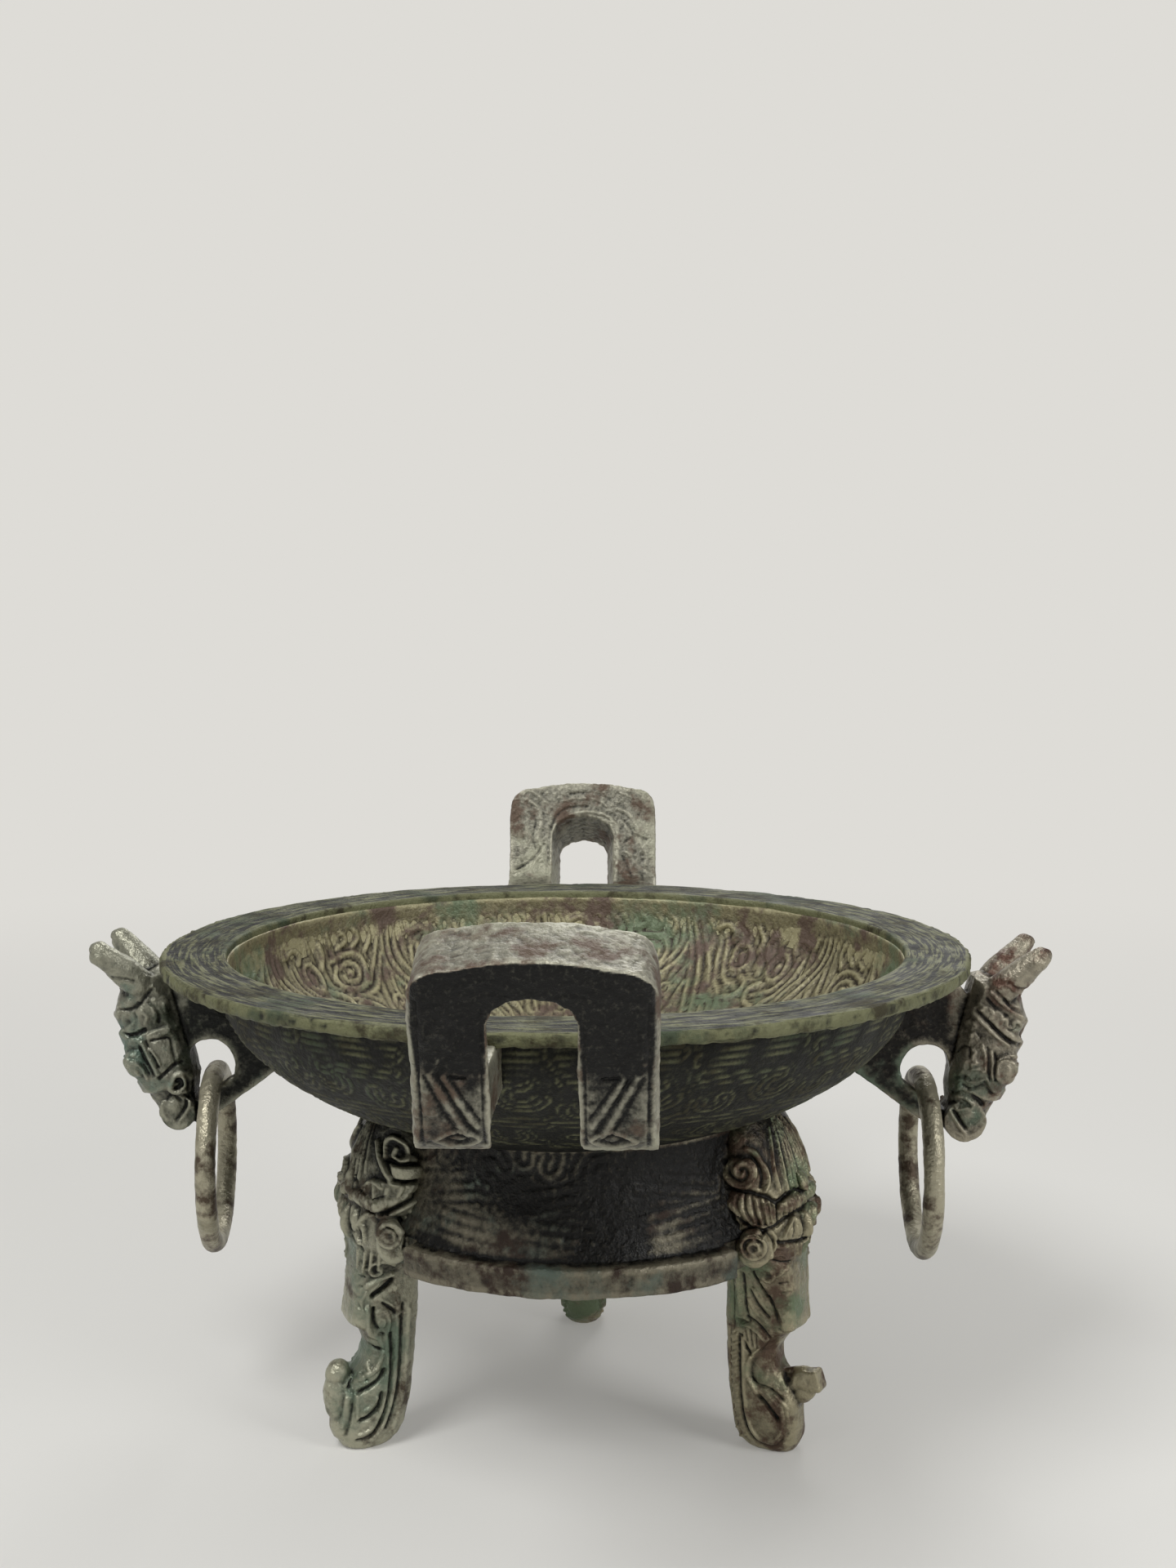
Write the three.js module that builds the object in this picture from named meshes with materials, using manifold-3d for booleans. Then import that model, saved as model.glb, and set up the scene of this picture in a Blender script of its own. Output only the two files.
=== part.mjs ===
// Bronze water basin on three elephant-head legs, with two upright ears and two ring-bearing lugs.
// Millimetres, +Z up. The origin is on the table under the middle of the basin.
// +X runs from lug to lug and -Y is the front ear's side.
import * as THREE from 'three';
import { mergeVertices } from 'three/addons/utils/BufferGeometryUtils.js';
import Module from 'manifold-3d';

const wasm = await Module();
wasm.setup();

// Basin
const rimRadius = 140;
const mouthRadius = 118;
const lipThickness = 4.5;
const wallThickness = 3.5;
const basinDepth = 64;
const undersideRadius = 41;

// Ring foot
const standHeight = 68.2;
const rimAboveFoot = 98.8;
const footRadius = 82.5;
const footNeckRadius = 68;
const footFlareRadius = 78;
const footBandHeight = 10;
const footWall = 5;
const footBandWall = 7.5;
const footRise = 12;
// The foot and its legs were cast a little off the basin's centre line, towards +X.
const footShift = 3.7;

// Ears
const earThickness = 21.8;
const earLean = THREE.MathUtils.degToRad(18.8);
const earReach = 45;
const earRise = 39.6;
const earArmDepth = 17;
const earShoulder = 11;
const earCrown = 2.5;
const earElbow = 14;
const earFillet = 9;
const earEdge = 2;
const earRoot = 15;
// The two ears differ a little, as hand-made castings do: the rear one is wider, its window lower.
const frontEar = { width: 62, outerHalf: 11, outerTop: 10.4, innerHalf: 13.7, innerTop: 15.5 };
const rearEar = { width: 65.5, outerHalf: 10.8, outerTop: 22.8, innerHalf: 13.7, innerTop: 15.5 };

// Legs
const frontLegAngle = THREE.MathUtils.degToRad(63);
const legInset = 2;
// The front left leg splays out at its sole, where the other two stand straight.
const leftLegSplay = 4;
const legHeadHeight = 49;
const legSeatHalf = 20.5;
const legSeatDepth = 4;
const eyeRadius = 4.6;
const eyeSpread = 18.6;
const crestRadius = 6.5;
const trunkTipRadius = 3.9;

// Lugs and their rings
const rightLug = { lean: 15, snoutReach: 0, snoutDrop: 61.5, snoutRadius: 7.4 };
const leftLug = { lean: 17, snoutReach: -2.2, snoutDrop: 60.5, snoutRadius: 6.4 };
const snoutWidth = 17;
const hornSpread = 14;
const loopThickness = 8;
const loopArm = 7.4;
const armSlope = THREE.MathUtils.degToRad(36);
const ringRadius = 30.3;
const ringSection = 3.7;
const ringInset = 14;
const ringDrop = 48;
// The left ring hangs turned a little round its loop.
const leftRingTurn = THREE.MathUtils.degToRad(6);

// Clearances
const seatGap = 0.3;
const ringGap = 0.8;

// Fineness
const roundSteps = 56;
const profileSteps = 8;

// Worked out from the sizes above
const rimTop = standHeight + rimAboveFoot;
const lipUnderside = rimTop - lipThickness;
const shoulderRadius = mouthRadius + wallThickness;
const undersideTop = rimTop - basinDepth;

// Turns a closed geometry into a solid that can be joined and cut.
function solidOf(geometry) {
  geometry.deleteAttribute('normal');
  geometry.deleteAttribute('uv');
  const merged = mergeVertices(geometry, 1e-4);
  const corners = merged.index.array;
  const kept = [];
  for (let i = 0; i < corners.length; i += 3) {
    const [a, b, c] = [corners[i], corners[i + 1], corners[i + 2]];
    if (a !== b && b !== c && c !== a) kept.push(a, b, c);
  }
  return new wasm.Manifold(new wasm.Mesh({
    numProp: 3,
    vertProperties: new Float32Array(merged.attributes.position.array),
    triVerts: new Uint32Array(kept),
  }));
}

// Turns a solid back into a geometry.
function geometryOf(solid) {
  const mesh = solid.getMesh();
  const geometry = new THREE.BufferGeometry();
  geometry.setAttribute('position', new THREE.BufferAttribute(mesh.vertProperties, 3));
  geometry.setIndex(new THREE.BufferAttribute(mesh.triVerts, 1));
  geometry.computeVertexNormals();
  return geometry;
}

// A profile of [radius, height] points turned about the vertical axis.
function revolve(profile) {
  const points = profile.map(([radius, height]) => new THREE.Vector2(radius, height));
  const geometry = new THREE.LatheGeometry(points, roundSteps);
  geometry.rotateX(Math.PI / 2);
  return solidOf(geometry);
}

// A skin over a row of closed loops with the same number of points, closed at both ends.
function loft(loops) {
  const count = loops[0].length;
  const middleOf = (loop) => {
    const sum = loop.reduce((total, corner) => total.add(corner), new THREE.Vector3());
    return sum.divideScalar(count);
  };
  const points = [...loops.flat(), middleOf(loops[0]), middleOf(loops.at(-1))];
  const first = loops.length * count;
  const corners = [];
  for (let i = 0; i < count; i += 1) {
    const next = (i + 1) % count;
    for (let ring = 0; ring < loops.length - 1; ring += 1) {
      const low = ring * count;
      const high = low + count;
      corners.push(low + i, low + next, high + next, low + i, high + next, high + i);
    }
    const top = (loops.length - 1) * count;
    corners.push(first, next, i, first + 1, top + i, top + next);
  }
  const geometry = new THREE.BufferGeometry().setFromPoints(points);
  geometry.setIndex(corners);
  return solidOf(geometry);
}

// A rounded cross-section at one height: power 2 is an ellipse and higher powers are squarer.
function section({ z, back, front, half, power = 2.6, tilt = 0 }, count = 14) {
  const middle = (back + front) / 2;
  const depth = (front - back) / 2;
  const loop = [];
  for (let i = 0; i < count; i += 1) {
    const turn = (2 * Math.PI * (i + 0.5)) / count;
    const [c, s] = [Math.cos(turn), Math.sin(turn)];
    const scale = (Math.abs(c) ** power + Math.abs(s) ** power) ** (-1 / power);
    const y = middle + depth * s * scale;
    loop.push(new THREE.Vector3(half * c * scale, y, z - tilt * (y - middle)));
  }
  return loop;
}

// A bar along a smooth curve, whose thickness follows the list of radii.
function bar(places, radii, sides = 8, steps = 8) {
  const curve = new THREE.CatmullRomCurve3(places.map((p) => new THREE.Vector3(...p)));
  const frames = curve.computeFrenetFrames(steps);
  const loops = [];
  for (let i = 0; i <= steps; i += 1) {
    const along = (i / steps) * (radii.length - 1);
    const low = Math.min(Math.floor(along), radii.length - 2);
    const radius = THREE.MathUtils.lerp(radii[low], radii[low + 1], along - low);
    const centre = curve.getPointAt(i / steps);
    const loop = [];
    for (let k = 0; k < sides; k += 1) {
      const turn = (2 * Math.PI * k) / sides;
      loop.push(centre.clone()
        .addScaledVector(frames.normals[i], radius * Math.cos(turn))
        .addScaledVector(frames.binormals[i], radius * Math.sin(turn)));
    }
    loops.push(loop);
  }
  return loft(loops);
}

// An outline drawn in a side view, outward and up, given a thickness across the middle plane.
function sidePlate(shape, thickness) {
  const settings = { depth: thickness, bevelEnabled: false, curveSegments: 6 };
  const geometry = new THREE.ExtrudeGeometry(shape, settings);
  geometry.translate(0, 0, -thickness / 2);
  const sideView = new THREE.Matrix4().makeBasis(
    new THREE.Vector3(0, 1, 0),
    new THREE.Vector3(0, 0, 1),
    new THREE.Vector3(1, 0, 0),
  );
  geometry.applyMatrix4(sideView);
  return solidOf(geometry);
}

function ball(radius, [x, y, z], squash = 1) {
  const geometry = new THREE.SphereGeometry(radius, 8, 6);
  geometry.scale(squash, 1, 1);
  geometry.translate(x, y, z);
  return solidOf(geometry);
}

function joined(solids) {
  return solids.reduce((sum, solid) => sum.add(solid));
}

// The basin's outer wall, from the middle of the underside up to the lip, moved outward by grow.
function wallProfile(grow) {
  const drop = lipUnderside - undersideTop;
  const fullness = 2.3;
  const turnIn = 0.9;
  const wallPoint = (t) => [
    undersideRadius + (shoulderRadius - undersideRadius) * (1 - t ** fullness) ** turnIn,
    lipUnderside - drop * t,
  ];
  const points = [];
  for (let i = profileSteps; i >= 0; i -= 1) {
    points.push(wallPoint(Math.sin((i / profileSteps) * (Math.PI / 2))));
  }
  return points.map(([radius, height], i) => {
    const [r0, z0] = points[Math.max(i - 1, 0)];
    const [r1, z1] = points[Math.min(i + 1, points.length - 1)];
    const length = Math.hypot(r1 - r0, z1 - z0);
    return [radius + (grow * (z1 - z0)) / length, height - (grow * (r1 - r0)) / length];
  });
}

// The basin without its hollow, grown by a clearance, which cuts everything that seats against it.
function basinEnvelope(grow) {
  const wall = wallProfile(grow).filter(([, height]) => height < lipUnderside - grow);
  return revolve([
    [0, undersideTop - grow],
    [undersideRadius * 0.5, undersideTop - grow],
    ...wall,
    [shoulderRadius + grow, lipUnderside - grow],
    [rimRadius + grow, lipUnderside - grow],
    [rimRadius + grow, rimTop + grow],
    [0, rimTop + grow],
  ]);
}

function makeBowl() {
  const inside = wallProfile(-wallThickness).filter(([, height]) => height < lipUnderside).reverse();
  const edge = 0.8;
  return revolve([
    [0, undersideTop],
    [undersideRadius * 0.5, undersideTop],
    ...wallProfile(0),
    [rimRadius - edge, lipUnderside],
    [rimRadius, lipUnderside + edge],
    [rimRadius, rimTop - edge],
    [rimRadius - edge, rimTop],
    [mouthRadius + edge, rimTop],
    [mouthRadius, rimTop - edge],
    ...inside,
    [undersideRadius * 0.5, undersideTop + wallThickness],
    [0, undersideTop + wallThickness],
  ]);
}

// The ring foot's outside runs in a hollow curve from the basin out to a plain band.
function footOutline(grow) {
  const bandTop = standHeight + footBandHeight;
  const neckTop = undersideTop + footRise;
  const outline = [
    [footRadius + grow, standHeight - grow],
    [footRadius + grow, bandTop + grow],
  ];
  const steps = 4;
  for (let i = 0; i <= steps; i += 1) {
    const up = i / steps;
    const radius = footNeckRadius + (footFlareRadius - footNeckRadius) * (1 - up) ** 2;
    outline.push([radius + grow, THREE.MathUtils.lerp(bandTop, neckTop, up) + (i === 0 ? grow : 0)]);
  }
  return outline;
}

// Each leg is modelled behind the basin and turned to its place about the foot's own centre.
const legTurns = {
  leg_rear: 0,
  leg_front_left: Math.PI - frontLegAngle,
  leg_front_right: frontLegAngle - Math.PI,
};

function turned(solid, angle) {
  return solid.rotate([0, 0, THREE.MathUtils.radToDeg(angle)]);
}

// The notch in the foot's band that a leg is cast into, made smaller or larger by a clearance.
function legSeat(shrink) {
  const depth = 60;
  const height = 2 * footBandHeight;
  const geometry = new THREE.BoxGeometry(2 * (legSeatHalf - shrink), depth, height);
  const seatBack = footRadius - legSeatDepth + shrink;
  const seatTop = standHeight + footBandHeight + 1 - shrink;
  geometry.translate(0, seatBack + depth / 2, seatTop - height / 2);
  return solidOf(geometry);
}

function makeFootRing(keepOut) {
  const outside = footOutline(0);
  const bandTop = standHeight + footBandHeight;
  const wall = outside.slice(2);
  const inside = [wall.at(-1), wall[2], wall[0]].map(([radius, height]) => [radius - footWall, height + 1]);
  const ring = revolve([
    ...outside,
    ...inside,
    [footRadius - footBandWall, bandTop - footBandWall / 2],
    [footRadius - footBandWall, standHeight],
    outside[0],
  ]);
  const seats = Object.values(legTurns).map((angle) => turned(legSeat(0), angle));
  return ring.subtract(keepOut).subtract(joined(seats));
}

// An ear is a strap bent up at an elbow, cut to an arched front and opened by a window that widens inward.
function makeEar(ear, keepOut) {
  const up = [Math.sin(earLean), Math.cos(earLean)];
  const innerTop = [rimRadius + earReach, rimTop + earRise];
  const outerTop = [innerTop[0] + earThickness * up[1], innerTop[1] - earThickness * up[0]];
  const armTop = lipUnderside + 1;
  const armUnderside = lipUnderside - earArmDepth;
  const outerFoot = [outerTop[0] - (outerTop[1] - armUnderside) * Math.tan(earLean), armUnderside];
  const innerFoot = [innerTop[0] - (innerTop[1] - armTop) * Math.tan(earLean), armTop];
  const onFace = ([y, z], rise) => [y + rise * up[0], z + rise * up[1]];

  const strap = new THREE.Shape();
  strap.moveTo(mouthRadius - earRoot, armUnderside);
  strap.lineTo(outerFoot[0] - earElbow, armUnderside);
  strap.quadraticCurveTo(...outerFoot, ...onFace(outerFoot, earElbow));
  strap.lineTo(...onFace(outerTop, -earEdge));
  strap.quadraticCurveTo(...outerTop, outerTop[0] - earEdge * up[1], outerTop[1] + earEdge * up[0]);
  strap.lineTo(innerTop[0] + earEdge * up[1], innerTop[1] - earEdge * up[0]);
  strap.quadraticCurveTo(...innerTop, ...onFace(innerTop, -earEdge));
  strap.lineTo(...onFace(innerFoot, earFillet));
  strap.quadraticCurveTo(...innerFoot, innerFoot[0] - earFillet, armTop);
  strap.lineTo(mouthRadius - earRoot, armTop);
  strap.closePath();

  // The arched front and the window are cut along the outer face's own slope, from well below the arms.
  const half = ear.width / 2;
  const low = 2 * earRise + outerTop[1] - armUnderside;
  const front = new THREE.Shape();
  front.moveTo(-half, -low);
  front.lineTo(half, -low);
  front.lineTo(half, -earCrown - earShoulder);
  front.quadraticCurveTo(half, -earCrown, half - earShoulder, -earCrown);
  front.quadraticCurveTo(0, earCrown, earShoulder - half, -earCrown);
  front.quadraticCurveTo(-half, -earCrown, -half, -earCrown - earShoulder);
  front.closePath();

  const margin = 5;
  const reach = earThickness + earReach + rimRadius / 2;
  const facing = new THREE.Matrix4().makeBasis(
    new THREE.Vector3(1, 0, 0),
    new THREE.Vector3(0, up[0], up[1]),
    new THREE.Vector3(0, -up[1], up[0]),
  ).setPosition(0, ...outerTop);
  const settings = { depth: reach + margin, bevelEnabled: false, curveSegments: 7 };
  const frontBlock = new THREE.ExtrudeGeometry(front, settings);
  frontBlock.translate(0, 0, -margin);
  frontBlock.applyMatrix4(facing);

  const windowLoop = (halfWidth, top, depth) => {
    const rise = halfWidth * 0.6;
    const loop = [[halfWidth, -low]];
    const steps = 6;
    for (let i = 0; i <= steps; i += 1) {
      const turn = (Math.PI * i) / steps;
      loop.push([halfWidth * Math.cos(turn), -top - rise * (1 - Math.sin(turn))]);
    }
    loop.push([-halfWidth, -low]);
    return loop.map(([x, y]) => new THREE.Vector3(x, y, depth).applyMatrix4(facing));
  };
  const taper = margin / earThickness;
  const opening = loft([
    windowLoop(
      ear.outerHalf - (ear.innerHalf - ear.outerHalf) * taper,
      ear.outerTop - (ear.innerTop - ear.outerTop) * taper,
      -margin,
    ),
    windowLoop(ear.innerHalf, ear.innerTop, earThickness),
    windowLoop(ear.innerHalf, ear.innerTop, reach),
  ]);
  return sidePlate(strap, ear.width + 2).intersect(solidOf(frontBlock)).subtract(opening).subtract(keepOut);
}

// A leg is an elephant's head against the foot, whose trunk runs down to the table and curls out.
function makeLeg(keepOut, splay) {
  const at = (share) => standHeight * share;
  const on = (offset, height = standHeight) => {
    const below = Math.max(1 - height / standHeight, 0);
    return footRadius - legInset + offset + splay * below;
  };
  const row = (height, back, front, half, power = 2.6) => (
    section({ z: height, back: on(back, height), front: on(front, height), half, power })
  );
  const trunk = [
    row(0, -11.5, 3.5, 5.5, 2.2),
    row(at(0.025), -14, 5, 7, 2.4),
    row(at(0.1), -17.2, 6.4, 8.2),
    row(at(0.27), -19, 6.4, 8.6),
    row(at(0.36), -19.3, 3.2, 8.4),
    row(at(0.43), -19.5, -1, 8),
    row(at(0.52), -19.6, -1.6, 8),
    row(at(0.6), -19.7, 2, 8.6, 3),
    row(at(0.655), -19.7, 7, 9, 4),
    row(at(0.69), -19.7, 7, 9.2, 4),
    row(at(0.88), -19.3, 6.2, 9.8, 3.4),
  ];
  const up = (share) => standHeight + legHeadHeight * share;
  const head = [
    row(up(0.02), -18, 6, 14.5, 2.6),
    row(up(0.12), -19, 6.4, 19, 2.4),
    row(up(0.25), -20, 6.6, 21, 2.3),
    row(up(0.45), -20, 6.2, 21.5, 2.3),
    row(up(0.65), -20, 5, 20.5, 2.3),
    row(up(0.85), -19, 2, 18, 2.3),
    row(up(1), -17, -2.5, 13, 2.3),
  ];
  const tip = [[-5, 0.2], [1, 0.26], [6.5, 0.34], [10.5, 0.395]].map(([offset, share]) => (
    [0, on(offset, at(share)), at(share)]
  ));
  const pieces = [
    loft([...trunk, ...head]),
    bar(tip, [6.5, 5.6, 4.8, trunkTipRadius - 0.3], 8, 6),
    ball(trunkTipRadius, [0, on(10.4, at(0.4)), at(0.4)]),
    ball(crestRadius, [0, on(3.4), up(0.2)], 0.45),
    ball(crestRadius, [0, on(1.6), up(0.475)], 0.45),
  ];
  for (const side of [-1, 1]) {
    pieces.push(ball(eyeRadius, [side * eyeSpread, on(-1.2), up(0.22)], 0.8));
    const brow = [
      [side * 4, on(5.6), up(0.37)],
      [side * 14, on(3), up(0.4)],
      [side * 21, on(-5), up(0.46)],
    ];
    pieces.push(bar(brow, [1.6, 3, 1.4], 5, 5));
    const curl = [];
    for (let i = 0; i <= 5; i += 1) {
      const turn = 0.4 + i * 0.9;
      const radius = 5.2 - 0.5 * i;
      curl.push([side * 19.5, on(-8.5) + radius * Math.cos(turn), up(0.62) + radius * Math.sin(turn)]);
    }
    pieces.push(bar(curl, [1.2, 2.2, 2.2, 1.4], 5, 9));
  }
  const floor = new THREE.BoxGeometry(80, 80, 20);
  floor.translate(0, footRadius, -10);
  const footBlock = revolve([
    [0, standHeight - seatGap],
    ...footOutline(seatGap),
    [0, undersideTop + footRise],
  ]);
  const wallToClear = footBlock.subtract(legSeat(seatGap));
  return joined(pieces).subtract(solidOf(floor)).subtract(wallToClear).subtract(keepOut);
}

// A lug is a horned beast's head on a flat loop that springs from the basin's wall under the lip.
function makeLug(lug, keepOut) {
  // The head's rows go up from the snout, each step in depth being one band of the mane.
  const head = [
    { z: -3, back: -5.5, front: 5.5, half: 7 },
    { z: 4, back: -7, front: 7.6, half: 7.6 },
    { z: 9, back: -8.6, front: 8.8, half: 9 },
    { z: 10, back: -9, front: 10.8, half: 10.4 },
    { z: 14, back: -9.6, front: 11.8, half: 11 },
    { z: 15, back: -9.8, front: 11.2, half: 10.8 },
    { z: 21, back: -10.2, front: 13.4, half: 12, tilt: 0.1 },
    { z: 28, back: -10.6, front: 13.4, half: 11.6, tilt: 0.3 },
    { z: 29, back: -10.6, front: 11.4, half: 10.8, tilt: 0.36 },
    { z: 37, back: -10.8, front: 12.8, half: 12.4, tilt: 0.4 },
    { z: 38, back: -10.8, front: 11, half: 11.4, tilt: 0.4 },
    { z: 44, back: -10.8, front: 12, half: 12.6, tilt: 0.4 },
    { z: 46, back: -10.6, front: 10.2, half: 12, tilt: 0.35 },
    { z: 50, back: -8, front: 6.5, half: 9, tilt: 0.2 },
  ].map((row) => section({ power: 3, ...row }));
  const scroll = new THREE.CylinderGeometry(lug.snoutRadius, lug.snoutRadius, snoutWidth, 16);
  scroll.rotateZ(Math.PI / 2);
  const pieces = [loft(head), solidOf(scroll)];
  for (const side of [-1, 1]) {
    const horn = [
      [side * 5.5, -2, 42],
      [side * 8, 0, 50],
      [side * 11, 3.5, 57],
      [side * hornSpread, 7, 62],
    ];
    pieces.push(ball(4.2, [side * 10.4, 7.6, 20.5], 0.8));
    pieces.push(bar(horn, [5.6, 5.4, 4.8, 3.4], 8, 6));
    pieces.push(ball(3.6, horn.at(-1)));
  }
  const tilted = new THREE.Matrix4().makeRotationX(-THREE.MathUtils.degToRad(lug.lean));
  tilted.setPosition(0, rimRadius + lug.snoutReach, rimTop - lug.snoutDrop);
  const beast = joined(pieces).transform(tilted.elements);

  // The ring hangs on the loop's lower arm, which slopes down and out from the basin's wall.
  const ringY = rimRadius - ringInset;
  const ringZ = rimTop - ringDrop;
  const armTopAtRing = ringZ - (ringSection + ringGap) / Math.cos(armSlope);
  const along = (run) => [ringY + run, armTopAtRing - run * Math.tan(armSlope)];
  const below = ([y, z]) => [y - loopArm * Math.sin(armSlope), z - loopArm * Math.cos(armSlope)];
  const inTheWall = 40;
  const inTheHead = 16;
  const loopTop = lipUnderside - 4;
  const plate = new THREE.Shape();
  plate.moveTo(...below(along(-inTheWall)));
  plate.lineTo(...below(along(inTheHead - 6)));
  plate.lineTo(ringY + inTheHead, ringZ + 4);
  plate.lineTo(ringY + inTheHead, ringZ + 28);
  plate.quadraticCurveTo(ringY + inTheHead - 4, loopTop - 2, ringY, loopTop);
  plate.lineTo(ringY - inTheWall, loopTop);
  plate.closePath();
  const hole = new THREE.Path();
  hole.moveTo(...along(-7.5));
  hole.quadraticCurveTo(ringY - 10, ringZ + 9, ringY - 2, ringZ + 13);
  hole.quadraticCurveTo(ringY + 9, ringZ + 14, ringY + 9, ringZ + 4);
  hole.lineTo(ringY + 9, ringZ - 5);
  hole.quadraticCurveTo(...along(10), ...along(6));
  hole.closePath();
  plate.holes.push(hole);
  return joined([sidePlate(plate, loopThickness), beast]).subtract(keepOut);
}

function makeRing() {
  const geometry = new THREE.TorusGeometry(ringRadius, ringSection, 8, 32);
  geometry.rotateX(Math.PI / 2);
  return solidOf(geometry);
}

const pan = new THREE.Group();

function place(name, solid, color, turn = 0, position = [0, 0, 0]) {
  const material = new THREE.MeshStandardMaterial({ color, roughness: 0.7, metalness: 0.6 });
  const mesh = new THREE.Mesh(geometryOf(solid), material);
  mesh.name = name;
  mesh.rotation.z = turn;
  mesh.position.set(...position);
  pan.add(mesh);
}

const toRight = -Math.PI / 2;
const toLeft = Math.PI / 2;
const toFront = Math.PI;

const keepOut = basinEnvelope(seatGap);
const keepOutFromFoot = keepOut.translate([-footShift, 0, 0]);
place('bowl', makeBowl(), 0x54584a);
place('foot_ring', makeFootRing(keepOutFromFoot), 0x5a4a44, 0, [footShift, 0, 0]);
place('ear_front', makeEar(frontEar, keepOut), 0x66604f, toFront);
place('ear_rear', makeEar(rearEar, keepOut), 0x6a6455);
for (const [name, turn] of Object.entries(legTurns)) {
  const splay = name === 'leg_front_left' ? leftLegSplay : 0;
  place(name, makeLeg(turned(keepOutFromFoot, -turn), splay), 0x5f5a4a, turn, [footShift, 0, 0]);
}
place('lug_right', makeLug(rightLug, keepOut), 0x6d5446, toRight);
place('lug_left', makeLug(leftLug, keepOut), 0x5a6a5e, toLeft);
const ring = makeRing();
const ringOut = rimRadius - ringInset;
const ringMiddle = rimTop - ringDrop - ringRadius;
place('ring_right', ring, 0x857a66, toRight, [ringOut, 0, ringMiddle]);
place('ring_left', ring, 0x857a66, toLeft + leftRingTurn, [-ringOut, 0, ringMiddle]);

export default pan;
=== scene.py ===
"""A cast bronze basin with strap ears, ring lugs and elephant-head legs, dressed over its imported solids."""

import math

import bmesh
import bpy
import numpy as np
from mathutils import Matrix, Vector


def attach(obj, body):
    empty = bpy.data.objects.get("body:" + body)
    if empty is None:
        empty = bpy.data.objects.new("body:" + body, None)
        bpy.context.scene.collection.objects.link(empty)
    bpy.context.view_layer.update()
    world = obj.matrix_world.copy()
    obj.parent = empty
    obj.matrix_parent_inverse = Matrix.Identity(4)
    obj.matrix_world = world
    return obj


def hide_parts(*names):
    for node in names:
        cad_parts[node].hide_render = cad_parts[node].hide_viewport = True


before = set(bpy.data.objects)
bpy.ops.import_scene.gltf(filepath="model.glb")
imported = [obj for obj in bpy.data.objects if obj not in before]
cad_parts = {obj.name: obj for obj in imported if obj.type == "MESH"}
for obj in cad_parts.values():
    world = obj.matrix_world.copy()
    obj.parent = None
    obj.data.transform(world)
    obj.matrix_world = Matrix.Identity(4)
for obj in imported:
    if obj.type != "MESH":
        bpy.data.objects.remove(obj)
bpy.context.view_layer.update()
bpy.ops.object.select_all(action="DESELECT")


# Camera
# The basin was looked at from a little above its rim and almost level, from a good half metre away.
# The lens and place were fitted to the two ellipses of the rim.
bpy.ops.object.camera_add(location=(0.0263, -0.6281, 0.2820), rotation=(math.pi / 2 - 0.0933, 0, 0.0297))
camera = bpy.context.object
camera.data.lens = 41.32
camera.data.clip_end = 30
bpy.context.scene.camera = camera


# Table and studio
# A pale matt sweep: the table top runs back and curves up into its own backdrop.
# Three soft lamps and an even surround light it, the main one from above and in front.
def linear(hex_colour):
    """An sRGB hex colour as the linear RGBA that the shaders take."""
    channels = [int(hex_colour[i : i + 2], 16) / 255 for i in (1, 3, 5)]
    return [c / 12.92 if c <= 0.04045 else ((c + 0.055) / 1.055) ** 2.4 for c in channels] + [1.0]


def add_node(material, kind, settings=None, **inputs):
    """Adds one node with its settings, and a value or a link for each input named or numbered.

    A whole node given for an input stands for its first output.
    """
    made = material.node_tree.nodes.new("ShaderNode" + kind)
    for setting, value in (settings or {}).items():
        setattr(made, setting, value)
    for name, value in inputs.items():
        socket = made.inputs[int(name[1:])] if name[0] == "_" else made.inputs[name.replace("_", " ")]
        if isinstance(value, bpy.types.Node):
            value = value.outputs[0]
        if isinstance(value, bpy.types.NodeSocket):
            material.node_tree.links.new(value, socket)
        else:
            socket.default_value = value
    return made


def apply_modifier(piece, kind, **settings):
    """Gives the active piece a modifier with its settings, and applies it."""
    step = piece.modifiers.new(kind, kind)
    for setting, value in settings.items():
        setattr(step, setting, value)
    bpy.ops.object.modifier_apply(modifier=kind)


bpy.ops.mesh.primitive_plane_add(size=8, location=(0, 2.0, 0))
sweep = bpy.context.object
sweep.name = "studio_sweep"
bpy.ops.object.mode_set(mode="EDIT")
bpy.ops.mesh.select_all(action="DESELECT")
bpy.ops.object.mode_set(mode="OBJECT")
for edge in sweep.data.edges:
    edge.select = all(sweep.data.vertices[v].co.y > 3.9 for v in edge.vertices)
bpy.ops.object.mode_set(mode="EDIT")
bpy.ops.mesh.select_mode(type="EDGE")
bpy.ops.mesh.extrude_region_move(TRANSFORM_OT_translate={"value": (0, 0, 6)})
bpy.ops.object.mode_set(mode="OBJECT")
bpy.ops.object.transform_apply(location=True, rotation=True, scale=True)
apply_modifier(sweep, "BEVEL", width=2.0, segments=24, limit_method="ANGLE")
bpy.ops.object.shade_smooth()
paper = bpy.data.materials.new("matt_studio_paper")
paper.use_nodes = True
paper_shader = paper.node_tree.nodes["Principled BSDF"]
paper_shader.inputs["Base Color"].default_value = linear("#dddcd8")
paper_shader.inputs["Roughness"].default_value = 0.9
place = add_node(paper, "TexCoord").outputs["Object"]
from_middle = add_node(paper, "VectorMath", {"operation": "LENGTH"}, _0=place)
farther = add_node(
    paper, "MapRange", {"interpolation_type": "SMOOTHSTEP"}, Value=from_middle.outputs["Value"],
    From_Min=0.2, From_Max=1.3, To_Min=0.25, To_Max=1.0,
)
ray = add_node(paper, "LightPath").outputs
seen = add_node(paper, "Math", {"operation": "MAXIMUM"}, _0=ray["Is Camera Ray"], _1=ray["Is Glossy Ray"])
pale = add_node(paper, "Math", {"operation": "MULTIPLY"}, _0=seen, _1=farther)
glow = add_node(paper, "Emission", Color=linear("#dedcd7"), Strength=1.0)
both = add_node(paper, "MixShader", _0=pale, _1=paper_shader, _2=glow)
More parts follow.
